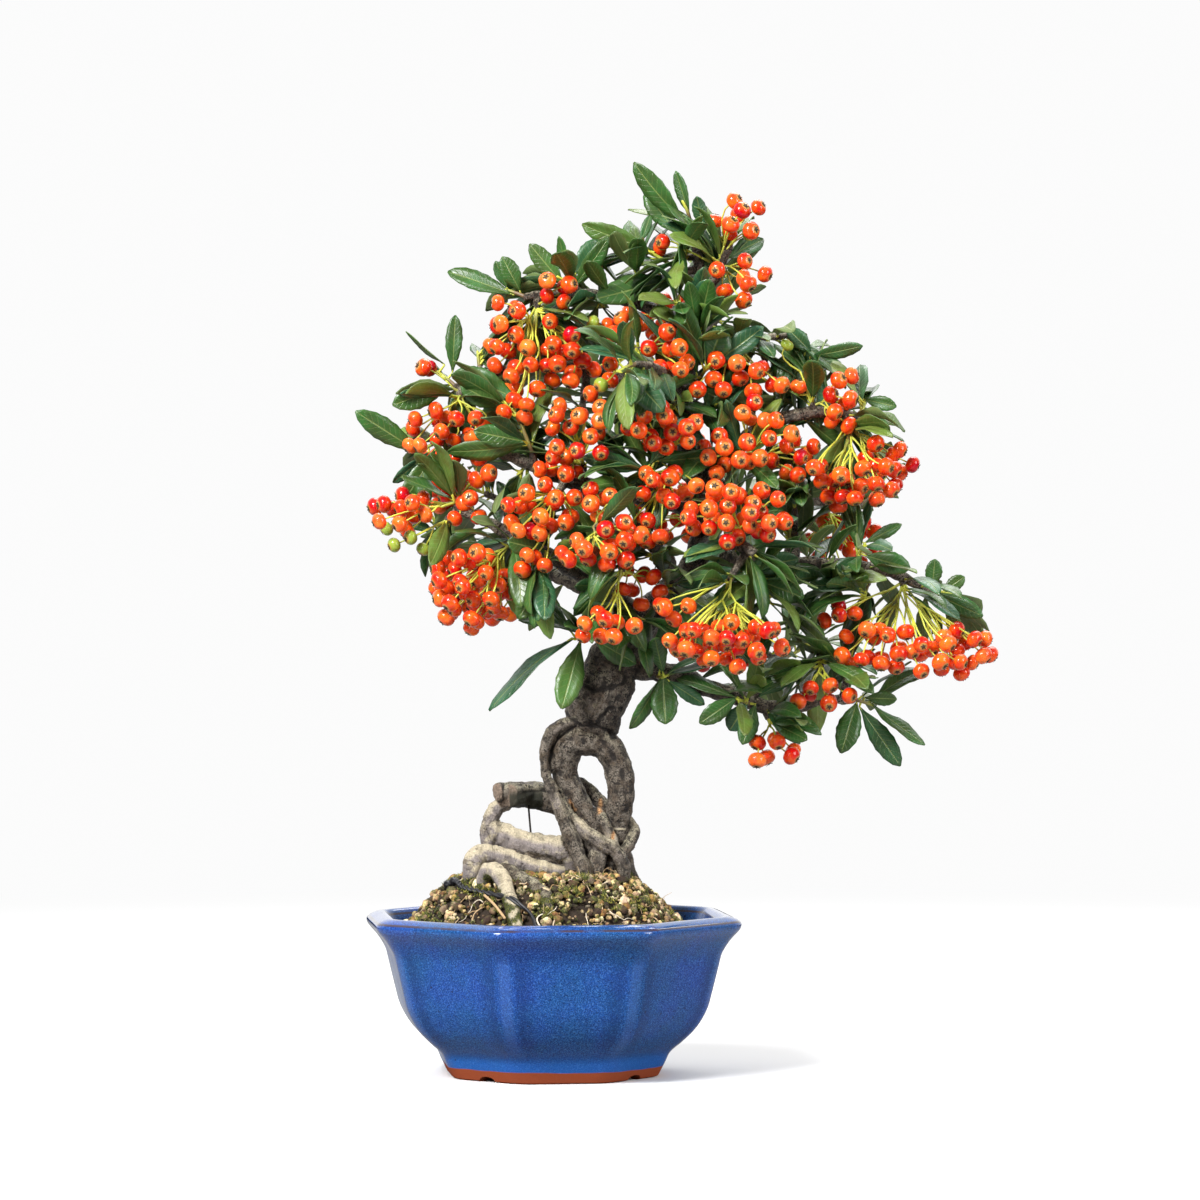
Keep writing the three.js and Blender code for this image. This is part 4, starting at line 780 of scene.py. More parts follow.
def ramp(share, *stops):  # colours at places along a ramp
    node = addNode(treeFrom(share), "ValToRGB", {"Fac": share})
    elements = node.color_ramp.elements
    while len(elements) < len(stops):
        elements.new(0.5)
    for element, (position, colour) in zip(elements, stops):
        element.position = position
        element.color = (*colour, 1)
    return node.outputs[0]


def plain(shader, **sockets):  # links worked-out values to the shader's sockets
    names = {"colour": "Base Color", "roughness": "Roughness", "coat": "Coat Weight", "normal": "Normal"}
    for key, socket in sockets.items():
        feed(shader.inputs[names[key]], socket)


# Pot, eight-sided with rounded corners, and with a round drain hole
potForm = {
    "turn": 7, "sides": 8, "cornerRound": 14, "reachRound": 8, "cornerSteps": 8, "sideSteps": 2,
    "softening": 3, "flatBelow": 0.0024,
}
notchForm = {"sides": (1, 3, 5, 7), "width": 8, "height": 2.2, "from": 26, "to": 50}
glaze = {
    "blue": (0.016, 0.085, 0.33), "lightBlue": (0.045, 0.15, 0.43), "darkBlue": (0.005, 0.02, 0.085),
    "footBlue": (0.02, 0.13, 0.5), "sheen": (0.1, 0.2, 0.5), "pit": (0.01, 0.012, 0.03),
    "thin": (0.05, 0.03, 0.03), "clay": (0.36, 0.085, 0.035), "darkClay": (0.24, 0.05, 0.02),
    "grain": 2900.0, "lightGrain": 1800.0, "cloud": 60.0, "tint": 38.0, "pits": 190.0, "ripple": 420.0,
    "grit": 3200.0, "waver": 45.0, "lineHeight": 0.0046, "lipHeight": 0.0624,
}
potTurn, halfSide = math.radians(potForm["turn"]), math.pi / potForm["sides"]


def potRing(height, radius):
    points = []
    soft = min(potForm["cornerRound"], radius * 0.5)
    radius = radius + min(potForm["reachRound"], soft) * (1 / math.cos(halfSide) - 1)
    for side in range(potForm["sides"]):
        angle = potTurn + (side - 0.5) * 2 * halfSide
        centre = (radius - soft / math.cos(halfSide)) * facing(angle)
        turns = np.linspace(-halfSide, halfSide, potForm["cornerSteps"])
        arc = [centre + soft * facing(angle + turn) for turn in turns]
        if points:
            points += list(np.linspace(points[-1], arc[0], potForm["sideSteps"] + 2)[1:-1])
        points += arc
    points += list(np.linspace(points[-1], points[0], potForm["sideSteps"] + 2)[1:-1])
    points = np.array(points)
    if radius <= drainRadius:
        points = unit(points) * radius
    return np.column_stack([points, np.full(len(points), height)])


def softened(profile, rounds):  # a profile with its corners cut, again and again
    profile = np.array(profile, float)
    for _ in range(rounds):
        ahead = np.roll(profile, -1, axis=0)
        cut = np.minimum(0.25, 1.2 / np.maximum(np.linalg.norm(ahead - profile, axis=1), 1e-6))[:, None]
        pairs = np.stack([profile + (ahead - profile) * cut, ahead + (profile - ahead) * cut], axis=1)
        profile = pairs.reshape(-1, 2)
    return profile


def makePot():
    outer = curveThrough(potOuter[:8], np.linspace(0, 1, 30))
    inner = curveThrough(potInner[1:], np.linspace(0, 1, 10))
    profile = softened([*outer, *potOuter[8:], potInner[0], *inner, *potUnder], potForm["softening"])
    rings = [potRing(height, radius) for height, radius in profile]
    around = len(rings[0])
    faces = gridFaces(len(rings), around)
    last = (len(rings) - 1) * around
    faces += [[last + k, last + (k + 1) % around, (k + 1) % around, k] for k in range(around)]
    pot = Shape()
    pot.add(np.vstack(rings), faces)
    notches = Shape()
    turns = np.linspace(0, math.pi, 9)
    half = notchForm["width"] / 2
    arch = np.column_stack([np.cos(turns) * half, np.sin(turns) ** 0.8 * notchForm["height"]])
    arch = np.vstack([[half, -1], arch, [-half, -1]])
    count = len(arch)
    for side in notchForm["sides"]:
        angle = potTurn + side * 2 * math.pi / potForm["sides"]
        outward, aside = np.append(facing(angle), 0), np.array([-math.sin(angle), math.cos(angle), 0])
        ends = [
            outward * far + np.outer(arch[:, 0], aside) + np.outer(arch[:, 1], [0, 0, 1])
            for far in (notchForm["from"], notchForm["to"])
        ]
        caps = [list(range(count))[::-1], list(range(count, 2 * count))]
        notches.add(np.vstack(ends), gridFaces(2, count) + caps)
    return pot, notches


def glazeBand(height):  # the wall below the lip and above the foot
    return times(spread(height, 0.008, 0.02), spread(height, 0.056, 0.046))


def glazeMaterial():
    material, tree, shader = newMaterial("blue_glaze", **{
        "Coat Roughness": 0.05, "Coat IOR": 1.45, "Specular IOR Level": 0.05,
    })
    place = objectPlace(tree)
    parts = apart(place)
    height = parts[2]
    cloud = noise(place, glaze["cloud"], 3.0)
    fine = spread(noise(place, glaze["grain"], 2.5, 0.6), 0.38, 0.6)
    colour = blend(fine, glaze["darkBlue"], glaze["blue"])
    light = spread(noise(place, glaze["lightGrain"], 2.0), 0.5, 0.7)
    colour = blend(light, colour, glaze["lightBlue"])
    tinted = useGroup(tintGroup, Colour=colour, Place=place, Size=glaze["tint"], Amount=0.22)
    low = spread(height, 0.016, 0.005)
    colour = blend(times(low, 0.55), tinted.outputs[0], glaze["footBlue"])
    # painted light: a painted dark band of shade beside each corner of the wall, and a painted highlight on
    # the corner itself
    aside, deep = (maths("SUBTRACT", parts[k], potMiddle[k]) for k in (0, 1))
    angle = plus(maths("ARCTAN2", deep, aside), 2 * math.pi - potTurn)
    around = maths("PINGPONG", angle, halfSide)
    paintedDarkBand = times(spread(around, halfSide - 0.2, halfSide - 0.1, 0.0, 0.4),
                   spread(around, halfSide - 0.08, halfSide - 0.05, 1.0, 0.0))
    colour = blend(times(paintedDarkBand, glazeBand(height)), colour, glaze["darkBlue"])
    # painted highlight along each corner of the wall
    edge = spread(around, halfSide - 0.05, halfSide - 0.02, 0.0, 0.19)
    colour = blend(times(edge, glazeBand(height)), colour, glaze["sheen"])
    pits = useGroup(speckGroup, Place=place, Size=glaze["pits"], Cover=0.16, Edge=0.02)
    colour = blend(times(pits.outputs[0], 0.75), colour, glaze["pit"])
    # the clay shows through in a thin line along the lip, and is bare below a wavering line at the foot
    lip = maths("ABSOLUTE", maths("SUBTRACT", height, glaze["lipHeight"]))
    lip = times(spread(lip, 0.0006, 0.0002), spread(cloud, 0.35, 0.5, 0.35, 0.9))
    colour = blend(lip, colour, glaze["thin"])
    line = plus(height, times(noise(place, glaze["waver"], 2.0), -0.002))
    bare = spread(line, glaze["lineHeight"] - 0.0008, glaze["lineHeight"] - 0.0012)
    grit = noise(place, glaze["grit"], 3.0)
    colour = blend(bare, colour, blend(grit, glaze["darkClay"], glaze["clay"]))
    rough = plus(times(bare, 0.62), spread(cloud, 0.3, 0.7, 0.16, 0.26))
    relief = plus(times(noise(place, glaze["ripple"], 2.0), 0.6), times(times(grit, bare), 0.5))
    shine = times(maths("SUBTRACT", 1.0, bare), spread(height, 0.052, 0.0605, 0.4, 1.0))
    plain(shader, colour=colour, roughness=rough, coat=shine, normal=bump(relief, 0.25, 0.0004))
    return material


potShape, notchShape = makePot()
cutters = linked("notch_work", makeMesh("notch_work", notchShape))
potMesh = modified("pot_glazed", potShape, ("BOOLEAN", {"object": cutters, "operation": "DIFFERENCE"}))
bpy.data.objects.remove(cutters)
potMesh.shade_smooth()
for polygon in potMesh.polygons:  # level faces and the foot are shaded flat
    if abs(polygon.normal.z) > 0.999 or polygon.center.z < potForm["flatBelow"]:
        polygon.use_smooth = False
makePiece("pot_glazed", potMesh, [glazeMaterial()], ["pot"])

plastic, tree, shader = newMaterial("mesh_plastic", **{"Base Color": (0.02, 0.021, 0.022), "Roughness": 0.55})
plain(shader, normal=bump(noise(objectPlace(tree), 3000.0), 0.2, 0.0001))
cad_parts["drain_mesh"].material_slots[0].material = plastic
print("stage: pot")


# Bark of the roots, the trunk and the branches
bark = {
    "dark": (0.018, 0.013, 0.01), "brown": (0.125, 0.092, 0.062), "grey": (0.27, 0.228, 0.178),
    "olive": (0.43, 0.39, 0.27), "cream": (0.66, 0.57, 0.4), "violet": (0.33, 0.285, 0.27),
    "fleckAndShade": (0.014, 0.01, 0.008), "wound": (0.72, 0.42, 0.19), "torn": (0.3, 0.13, 0.05),
    "cut": (0.34, 0.25, 0.19), "wet": (0.016, 0.018, 0.008),
    "along": 700.0, "rings": 480.0, "patches": 170.0, "grain": 2000.0, "flecks": 1050.0, "dashes": 1000.0,
}
woodForm = {
    "voxel": 0.62, "ringStep": 1.1, "lumps": 0.055, "swell": 0.35, "ridges": 0.14, "crossLines": 0.13,
    "hollows": 0.26, "pits": 0.07, "soilLine": 80, "twig": 1.7, "twigEnd": 0.95,
    "sides": {"trunk": 40, "root": 26, "web": 16, "thick": 22, "thin": 12, "twig": 9},
    "scar": {"x": 26.6, "z": 98.2, "half": 2.4, "width": 0.4, "rise": 0.3},
    "sawnShade": {"x": -10.5, "z": 108, "halfX": 6.5, "halfZ": 7.5, "top": 115, "dark": 0.92},
}
rootLooks = {  # how pale each root is
    "rightLimb": 0.12, "leftLimb": 0.12, "frontLeft": 0.18, "crossing": 0.3, "loop": 0.35, "between": 0.25,
    "behindHole": 0.12, "knob": 0.3, "stub": 0.35, "sawn": 0.05, "sawnFork": 0.1, "down": 0.75,
    "middle": 0.8, "lowest": 1.0, "frontArch": 0.95, "halfBuried": 0.15, "back": 0.6, "backRight": 0.3,
}
creases = [  # folds in the bark as seen from the front: x and z along them, width and depth
    ([[5.6, 144], [9, 141.6], [12.4, 139.6], [17, 139.9], [22, 138], [25.4, 134.6]], 0.7, 0.8),
    ([[13, 155.4], [17, 153.4], [22, 154.6], [28, 156.4]], 0.8, 0.9),
    ([[17.4, 139.8], [19.6, 143.4], [22.6, 146.6], [27.4, 146.8]], 0.7, 0.8),
    ([[9.4, 139.4], [6, 137.6], [2.4, 134.4], [-0.6, 129.4], [-1.4, 122]], 0.45, 0.7),
    ([[3, 113.4], [-5, 113.4], [-12, 113]], 0.35, 0.5),
    ([[-21.6, 102.6], [-21.4, 98.6], [-22.6, 93.4]], 0.8, 1.1),
    ([[-19.6, 116.4], [-20, 113.4], [-19.4, 110.4]], 0.5, 0.7),
]
webs = [  # bark that fills the slits between limbs that have grown together
    [[-0.8, -5.2, 121.4, 1.3], [-0.6, -5.6, 124, 1.7], [-0.4, -6, 127.5, 1.9], [1, -6, 132, 1.8]],
    [[-13, -9, 87.6, 1.6], [-8, -8.6, 86.6, 1.8], [-3, -8, 85.4, 2], [3, -7, 84.6, 2]],
]
wounds = [([7, 109.4], [9, 106], 0.7), ([19.2, 109], [18.8, 105], 0.8), ([24.4, 97], [23.8, 94.6], 0.6)]
sawnEnds, thickBranches = ("sawn", "sawnFork"), ("leader", "lowRight")
spine = {"centre": [], "radius": [], "run": [], "side": [], "other": [], "pale": []}


def addSpine(path, pale):
    centres, radius = path[:, :3], path[:, 3]
    tangents = unit(np.gradient(centres, axis=0))
    side, run = firstSide, 100.0 * len(spine["pale"])  # each limb starts at its own place in the grain
    for k in range(len(path)):
        side = unit(side - tangents[k] * (side @ tangents[k]))
        run += np.linalg.norm(centres[k] - centres[max(k - 1, 0)])
        entry = (centres[k], radius[k], run % 4000, side, np.cross(tangents[k], side), pale)
        for key, given in zip(spine, entry):
            spine[key].append(given)


def addLimb(shape, points, pale, sides, seed, flat=False):
    path = evenly(placed(points), woodForm["ringStep"])
    addSpine(path, pale)
    tubePoints, faces, _ = tube(path[:, :3], path[:, 3], sides, 0 if flat else 2)
    middle = np.repeat(path[:, :3], sides, axis=0)
    if not flat:
        middle = np.vstack([np.repeat(path[:1, :3], 2 * sides, axis=0), middle,
                            np.repeat(path[-1:, :3], 2 * sides, axis=0)])
    middle = np.vstack([middle, path[0, :3], path[-1, :3]])
    outward = tubePoints - middle
    swell = woodForm["lumps"] * (waves(tubePoints, 11, seed) + 0.7 * waves(tubePoints, 4.5, seed + 1))
    shape.add(tubePoints + outward * swell[:, None], faces)


def nearWood(points):  # where each point lies on its nearest limb: along it, across it, and how pale
    tree, radius = treeOf(spine["centre"]), spine["radius"]
    found = [min(tree.find_n(point, 6), key=lambda near: near[2] - radius[near[1]])[1] for point in points]
    away = points - np.array(spine["centre"])[found]
    across = (away * np.array(spine["side"])[found]).sum(axis=1)
    over = (away * np.array(spine["other"])[found]).sum(axis=1)
    grain = np.column_stack([np.array(spine["run"])[found], across, over])
    return grain, np.array(spine["pale"])[found]


def distanceTo(points, line):  # from points to a line of straight parts, in the plane of both
    line, best = np.array(line, float), np.full(len(points), 1e9)
    for start, end in zip(line[:-1], line[1:]):
        part = end - start
        share = np.clip(((points - start) @ part) / (part @ part), 0, 1)
        best = np.minimum(best, np.linalg.norm(points - start - share[:, None] * part, axis=1))
    return best


def sawnFaces(points, normals):  # the flat ends where roots were sawn off
    mask = np.zeros(len(points))
    for name in sawnEnds:
        path = placed(roots[name])
        end, way = path[-1, :3], unit(path[-1, :3] - path[-2, :3])
        away = points - end
        near = (np.abs(away @ way) < 1.5) & (np.linalg.norm(away, axis=1) < path[-1, 3] + 1.2)
        mask = np.maximum(mask, near * np.clip((normals @ way - 0.35) * 4, 0, 1))
    return mask


def carveBark(mesh):  # relief in the bark, with the values that its material reads
    count = len(mesh.vertices)
    points, normals = np.zeros(count * 3), np.zeros(count * 3)
    mesh.vertices.foreach_get("co", points)
    mesh.vertices.foreach_get("normal", normals)
    points, normals = (points.reshape(-1, 3) - potMiddle) * perMetre, normals.reshape(-1, 3)
    grain, pale = nearWood(points)
    long = grain * [0.28, 1.0, 1.0]
    rings = grain * [1.6, 0.25, 0.25]
    relief = woodForm["ridges"] * (waves(long, 2.6, 31) + 0.6 * waves(long, 1.3, 32)) * (1.15 - 0.75 * pale)
    relief += woodForm["crossLines"] * waves(rings, 2.6, 33) * (0.4 + pale)
    relief += woodForm["hollows"] * waves(points, 5.5, 34) + woodForm["pits"] * waves(points, 1.9, 37)
    seen = points[:, [0, 2]]
    front = np.clip(-normals[:, 1] * 3 + 0.4, 0, 1)
    for line, width, depth in creases:
        relief -= depth * np.exp(-((distanceTo(seen, line) / width) ** 2)) * front
    wound, ragged = np.zeros(count), 0.35 * waves(points, 1.6, 36)
    for start, end, width in wounds:
        mask = np.exp(-(np.maximum(distanceTo(seen, [start, end]) / width + ragged, 0) ** 4)) * front
        relief -= 0.4 * mask
        wound = np.maximum(wound, mask)
    ring = woodForm["scar"]
    scar = np.exp(-(((points[:, 2] - ring["z"]) / ring["width"]) ** 4)) * front
    scar *= np.abs(points[:, 0] - ring["x"]) < ring["half"]
    relief += ring["rise"] * scar + woodForm["swell"]
    moved = points + normals * relief[:, None]
    mesh.vertices.foreach_set("co", (moved / perMetre + potMiddle).ravel())
    # painted shade: faces turned down near the soil line, and the sawn root's lower side, are darkened nearly
    # to black
    low = np.clip((woodForm["soilLine"] + 9 - points[:, 2]) / 16, 0, 1) ** 1.5
    shade = np.clip(0.35 - normals[:, 2], 0, 1)
    spot = woodForm["sawnShade"]  # painted shade on the sawn root's lower side
    under = np.abs(points[:, 0] - spot["x"]) < spot["halfX"]
    under &= np.abs(points[:, 2] - spot["z"]) < spot["halfZ"]
    darkUnder = spot["dark"] * under * np.clip((spot["top"] - points[:, 2]) / 3, 0, 1)
    named = {
        "pale": np.clip(pale + 0.22 * waves(points, 14, 35), 0, 1), "relief": relief - woodForm["swell"],
        "damp": np.clip(0.62 * low + 0.5 * low * shade + 0.32 * shade * (points[:, 2] < 96), 0, 1.1),
        "wound": np.clip(wound, 0, 1), "scar": scar, "upward": np.clip(normals[:, 2], 0, 1),
        "cut": sawnFaces(points, normals),
        "wet": np.clip(low * 1.6 * np.clip(0.1 - normals[:, 2] * 1.6, 0, 1) + darkUnder, 0, 1),
    }
    for key, values in named.items():
        mesh.attributes.new(key, "FLOAT", "POINT").data.foreach_set("value", values.astype(np.float32))
    mesh.attributes.new("grain", "FLOAT_VECTOR", "POINT").data.foreach_set("vector", grain.ravel() / perMetre)
    mesh.update()


def barkMaterial():
    material, tree, shader = newMaterial("bark", **{"Specular IOR Level": 0.4})
    grain, place = vector(tree, "grain"), objectPlace(tree)
    pale, upward = value(tree, "pale"), value(tree, "upward")
    long = noise(stretched(grain, (0.3, 1, 1)), bark["along"], 5.0, 0.7)
    rings = noise(stretched(grain, (2.2, 0.4, 0.4)), bark["rings"], 4.0, 0.7)
    patches = noise(place, bark["patches"], 6.0, 0.7)
    fine = noise(place, bark["grain"], 3.0, 0.65)
    brown = blend(spread(patches, 0.4, 0.58), bark["brown"], bark["grey"])
    # olive patches, lighter on faces turned up: partly the bark's own colour, partly painted light from above
    oliveAndTopLight = times(spread(patches, 0.36, 0.56), spread(upward, 0.05, 0.8))
    brown = blend(oliveAndTopLight, brown, bark["olive"])
    brown = blend(spread(long, 0.47, 0.38, 0.0, 0.85), brown, bark["dark"])
    brown = blend(spread(rings, 0.44, 0.36, 0.0, 0.8), brown, bark["dark"])
    # pale roots go violet-grey in patches, more so on faces turned away from above: partly painted shade
    aside = times(spread(upward, 0.55, 0.1), spread(patches, 0.36, 0.52))
    cream = blend(aside, bark["cream"], bark["violet"])
    cream = blend(spread(rings, 0.4, 0.33, 0.0, 0.75), cream, bark["brown"])
    share = plus(pale, times(maths("SUBTRACT", long, 0.5), 0.8))
    colour = blend(spread(share, 0.25, 0.75), brown, cream)
    cover = maths("SUBTRACT", 0.68, times(pale, 0.3))
    flecks = useGroup(speckGroup, Place=place, Size=bark["flecks"], Cover=cover, Edge=0.06)
    drawnOut = stretched(grain, (1.0, 0.2, 0.2))
    dashes = useGroup(speckGroup, Place=drawnOut, Size=bark["dashes"], Cover=0.42, Edge=0.05)
    marks = maths("MAXIMUM", flecks.outputs[0], dashes.outputs[0])
    share = times(marks, spread(pale, 0.0, 0.7, 0.95, 0.4))
    colour = blend(share, colour, bark["fleckAndShade"])
    share = times(spread(fine, 0.4, 0.6, 0.62, 0.0), spread(pale, 0.0, 1.0, 1.0, 0.4))
    colour = blend(share, colour, bark["dark"])
    # painted shade: the bark is darkened in the hollows of its relief, with the same near-black as the flecks
    hollowShade = times(spread(value(tree, "relief"), -0.06, -0.42, 0.0, 0.94),
                   spread(pale, 0.15, 0.7, 1.0, 0.35))
    colour = blend(hollowShade, colour, bark["fleckAndShade"])
    torn = blend(spread(fine, 0.4, 0.6), bark["torn"], bark["wound"])
    colour = blend(value(tree, "wound"), colour, torn)
    colour = blend(value(tree, "scar"), colour, bark["cream"])
    sawn = blend(spread(fine, 0.35, 0.65), bark["brown"], bark["cut"])
    colour = blend(value(tree, "cut"), colour, sawn)
    # painted shade on undersides near the soil and under the sawn root
    colour = blend(value(tree, "wet"), colour, bark["wet"])
    mossed = useGroup(mossGroup, Colour=colour, Place=place, Cover=value(tree, "damp"))
    height = plus(long, times(marks, -0.8))
    height = plus(plus(height, times(fine, 0.6)), rings)
    rough = spread(patches, 0.3, 0.7, 0.36, 0.6)
    plain(shader, colour=mossed.outputs[0], roughness=rough, normal=bump(height, 1.0, 0.001))
    return material


def allLimbs():  # the thick limbs, which are remeshed into one, and the thin ones
    thick, thin, sides = Shape(), Shape(), woodForm["sides"]
    addLimb(thick, trunk, 0.1, sides["trunk"], 1)
    for i, (name, points) in enumerate(roots.items()):
        addLimb(thick, points, rootLooks[name], sides["root"], 10 + i, flat=name in sawnEnds)
    for i, points in enumerate(webs):
        addLimb(thick, points, 0.2, sides["web"], 40 + i)
    for i, (name, points) in enumerate(branches.items()):
        kind, into = ("thick", thick) if name in thickBranches else ("thin", thin)
        addLimb(into, points, 0.05, sides[kind], 50 + i)
    return thick, thin


def nearestWood(point):  # the place on the branches that a twig starts from
    best = (1e9, None, 0)
    for points in branches.values():
        steps = 6 * (len(points) - 1)
        at = curveThrough(placed(points), np.arange(steps + 1) / steps)
        distances = np.linalg.norm(at[:, :3] - point, axis=1)
        k = int(distances.argmin())
        if distances[k] < best[0] - 1e-6:
            best = (distances[k], at[k, :3], at[k, 3])
    return best


def addTwig(shape, start, heading):
    distance, wood, radius = nearestWood(start)
    if distance < 1.2:
        return
    lean = start - 0.4 * distance * heading
    t = np.linspace(0, 1, max(5, int(distance / 1.2)))[:, None]
    path = bowed(wood, lean, start, t)
    size = min(radius * 0.8, woodForm["twig"])
    path = np.column_stack([path, size + (woodForm["twigEnd"] - size) * t])
    addSpine(path, 0.05)
    points, faces, _ = tube(path[:, :3], path[:, 3], woodForm["sides"]["twig"], 1)
    outward = unit(points - path[:, :3].mean(axis=0))
    shape.add(points + 0.12 * outward * waves(points, 3, 5)[:, None], faces)


def startOfShoot(shoot):
    stem = placed(shoot["stem"])
    return stem[0], unit(stem[1] - stem[0])


def startOfBunch(bunch):
    start = placed(bunch["from"])
    return start, unit(sum(unit(placed(part[:3]) - start) for part in bunch["parts"]))


thickWood, thinWood = allLimbs()
for start, heading in [*map(startOfShoot, shoots.values()), *map(startOfBunch, bunches.values())]:
    addTwig(thinWood, start, heading)
fillers = [  # tips of leafy twigs where the crown would be open, as seen from the front
    [34.8, -6, 324.8], [50.8, -7, 328], [4, 2, 307], [19, -2, 309], [-7, -6, 298], [-30, -4, 289],
    [87, -3, 279], [88, -6, 268], [-14, -16, 240], [11, -20, 225], [88, -4, 253], [99, -8, 241],
    [95, -8, 219], [111, -10, 196], [125, -8, 191], [86, -14, 189], [118, -10, 163], [84, -12, 161],
    [51, -12, 309], [58, -14, 296], [52, -14, 282], [48, -16, 266], [27, -16, 253], [39, -26, 206],
    [46, -24, 194], [34, -24, 183], [24, -20, 194], [97, -10, 232], [60, -14, 250], [74, -14, 233],
    [10, -16, 262], [66, -12, 268],
]
fillerStems = []
for tip in placed(fillers):
    heading = unit(unit(tip - nearestWood(tip)[1]) + [0, -0.4, 0.3])
    addTwig(thinWood, tip - 7 * heading, heading)
    fillerStems.append(np.array([tip - 7 * heading, tip - 3 * heading, tip]))
barkSurface = barkMaterial()
smoothing = ("SMOOTH", {"factor": 0.5, "iterations": 3})
remesh = ("REMESH", {"mode": "VOXEL", "voxel_size": woodForm["voxel"] / perMetre})
woodMesh = modified("trunk_and_roots", thickWood, remesh, smoothing)
thinMesh = makeMesh("branches_and_twigs", thinWood)
for name, mesh in (("trunk_and_roots", woodMesh), ("branches_and_twigs", thinMesh)):
    carveBark(mesh)
    mesh.shade_smooth()
    makePiece(name, mesh, [barkSurface], ["tree"])
    print("stage:", name, len(mesh.polygons), "faces")


# Leaves, each with an arched blade, a folded midrib, teeth and a stalk
leafForm = {
    "thick": 0.45, "fold": 0.24, "teeth": 0.035, "stations": 13, "fewer": 8, "stalk": 0.5, "curl": 0.09,
    "slim": 0.3, "roll": 1.7, "turnedOut": 0.85, "broadest": 12,
    "outline": [[0, 0.06], [0.07, 0.14], [0.18, 0.42], [0.32, 0.74], [0.46, 0.94], [0.58, 1], [0.72, 0.93],
                [0.84, 0.74], [0.93, 0.48], [0.98, 0.24], [1, 0.08]],
}
leafLooks = {
    "green": (0.036, 0.1, 0.018), "light": (0.17, 0.235, 0.04), "blue": (0.024, 0.095, 0.045),
    "rib": (0.23, 0.3, 0.08), "under": (0.12, 0.175, 0.05), "underRib": (0.3, 0.34, 0.13),
    "veins": 11.0, "tint": 120.0, "gloss": 400.0, "grain": 1600.0,
}
stemLooks = {
    "colours": [(0.45, (0.6, 0.62, 0.07)), (0.7, (0.4, 0.44, 0.06)), (0.95, (0.17, 0.11, 0.05))],
    "patches": 90.0, "grain": 1800.0,
}
goldenAngle = 2.39996


def leafFrame(leaf):
    axis = unit(leaf["tip"] - leaf["base"])
    side = unit(np.cross(axis, leaf["normal"]))
    return side, unit(np.cross(side, axis))


def leafCentre(leaf, t):
    up = leafFrame(leaf)[1]
    length = np.linalg.norm(leaf["tip"] - leaf["base"])
    bend = (leaf["base"] + leaf["tip"]) / 2 + up * leaf["bow"] * length
    t = np.atleast_1d(t)[:, None]
    return bowed(leaf["base"], bend, leaf["tip"], t)


def addLeaf(shape, leaf, seed):
    rng = np.random.default_rng(seed)
    side, up = leafFrame(leaf)
    length = np.linalg.norm(leaf["tip"] - leaf["base"])
    stations = leafForm["stations" if leaf["shown"] or leaf["tip"][1] < -6 else "fewer"]
    t = np.linspace(0, 1, stations) ** 0.92
    centre = leafCentre(leaf, t)
    curl = leafForm["curl"] * rng.uniform(-0.6, 1.3) * length * np.clip(t - 0.6, 0, 1) ** 2 * 4
    centre = centre - up * curl[:, None]
    outline = np.array(leafForm["outline"])
    half = np.interp(t, outline[:, 0], outline[:, 1]) * leaf["width"] / 2
    columns = np.array([-1, -0.5, 0, 0.5, 1])
    teeth = 1 + leafForm["teeth"] * np.where(np.arange(len(t)) % 2, 1, -1) * (t > 0.25) * (t < 0.97)
    across = np.outer(half, columns)
    across[:, [0, -1]] *= teeth[:, None]
    fold = leafForm["fold"] * rng.uniform(0.3, 1.4)
    wave = 0.06 * leaf["width"] * np.sin(t * rng.uniform(7, 12) + rng.uniform(0, 6))
    twist = (0 if leaf["shown"] else 0.3 * rng.normal()) * t
    lift = np.abs(across) * fold + wave[:, None] * columns ** 2 + across * twist[:, None]
    surface = centre[:, None] + across[..., None] * side + lift[..., None] * up
    thick = (leafForm["thick"] * (1 - 0.5 * columns ** 2) / 2)[None, :, None] * up
    top, bottom = (surface + thick).reshape(-1, 3), (surface - thick).reshape(-1, 3)
    rows, wide = len(t), len(columns)
    count = rows * wide
    faces = gridFaces(rows, wide, closed=False)
    faces += [[corner + count for corner in face[::-1]] for face in faces]
    for row in range(rows - 1):
        for edge in (0, wide - 1):
            a, b = row * wide + edge, (row + 1) * wide + edge
            faces.append([a, b, b + count, a + count][::1 if edge == 0 else -1])
    for k in range(wide - 1):
        for row in (0, rows - 1):
            a, b = row * wide + k, row * wide + k + 1
            faces.append([a, b, b + count, a + count][::-1 if row == 0 else 1])
    blade = np.column_stack([np.tile(columns, rows), np.repeat(t, wide), np.full(count, length / 25)])
    tone = rng.uniform(0, 0.8 if leaf["shown"] else 1)
    away = up @ (eye - leaf["tip"]) < 0 and leaf["tip"][1] < 5 and rng.random() < leafForm["turnedOut"]
    shape.add(np.vstack([top, bottom]), faces, 0, blade=np.vstack([blade, blade]),
              tone=tone, under=np.repeat([1.0, 0.0] if away else [0.0, 1.0], count))
    if np.linalg.norm(leaf["root"] - leaf["base"]) > 0.3:
        halfway = (leaf["root"] + leaf["base"]) / 2 - 0.2 * up
        path = np.vstack([leaf["root"], halfway, leaf["base"], leafCentre(leaf, 0.05)])
        addTube(shape, path, leafForm["stalk"] * np.array([1.2, 1, 0.9, 0.6]), 6, 1, 1, tone=tone)


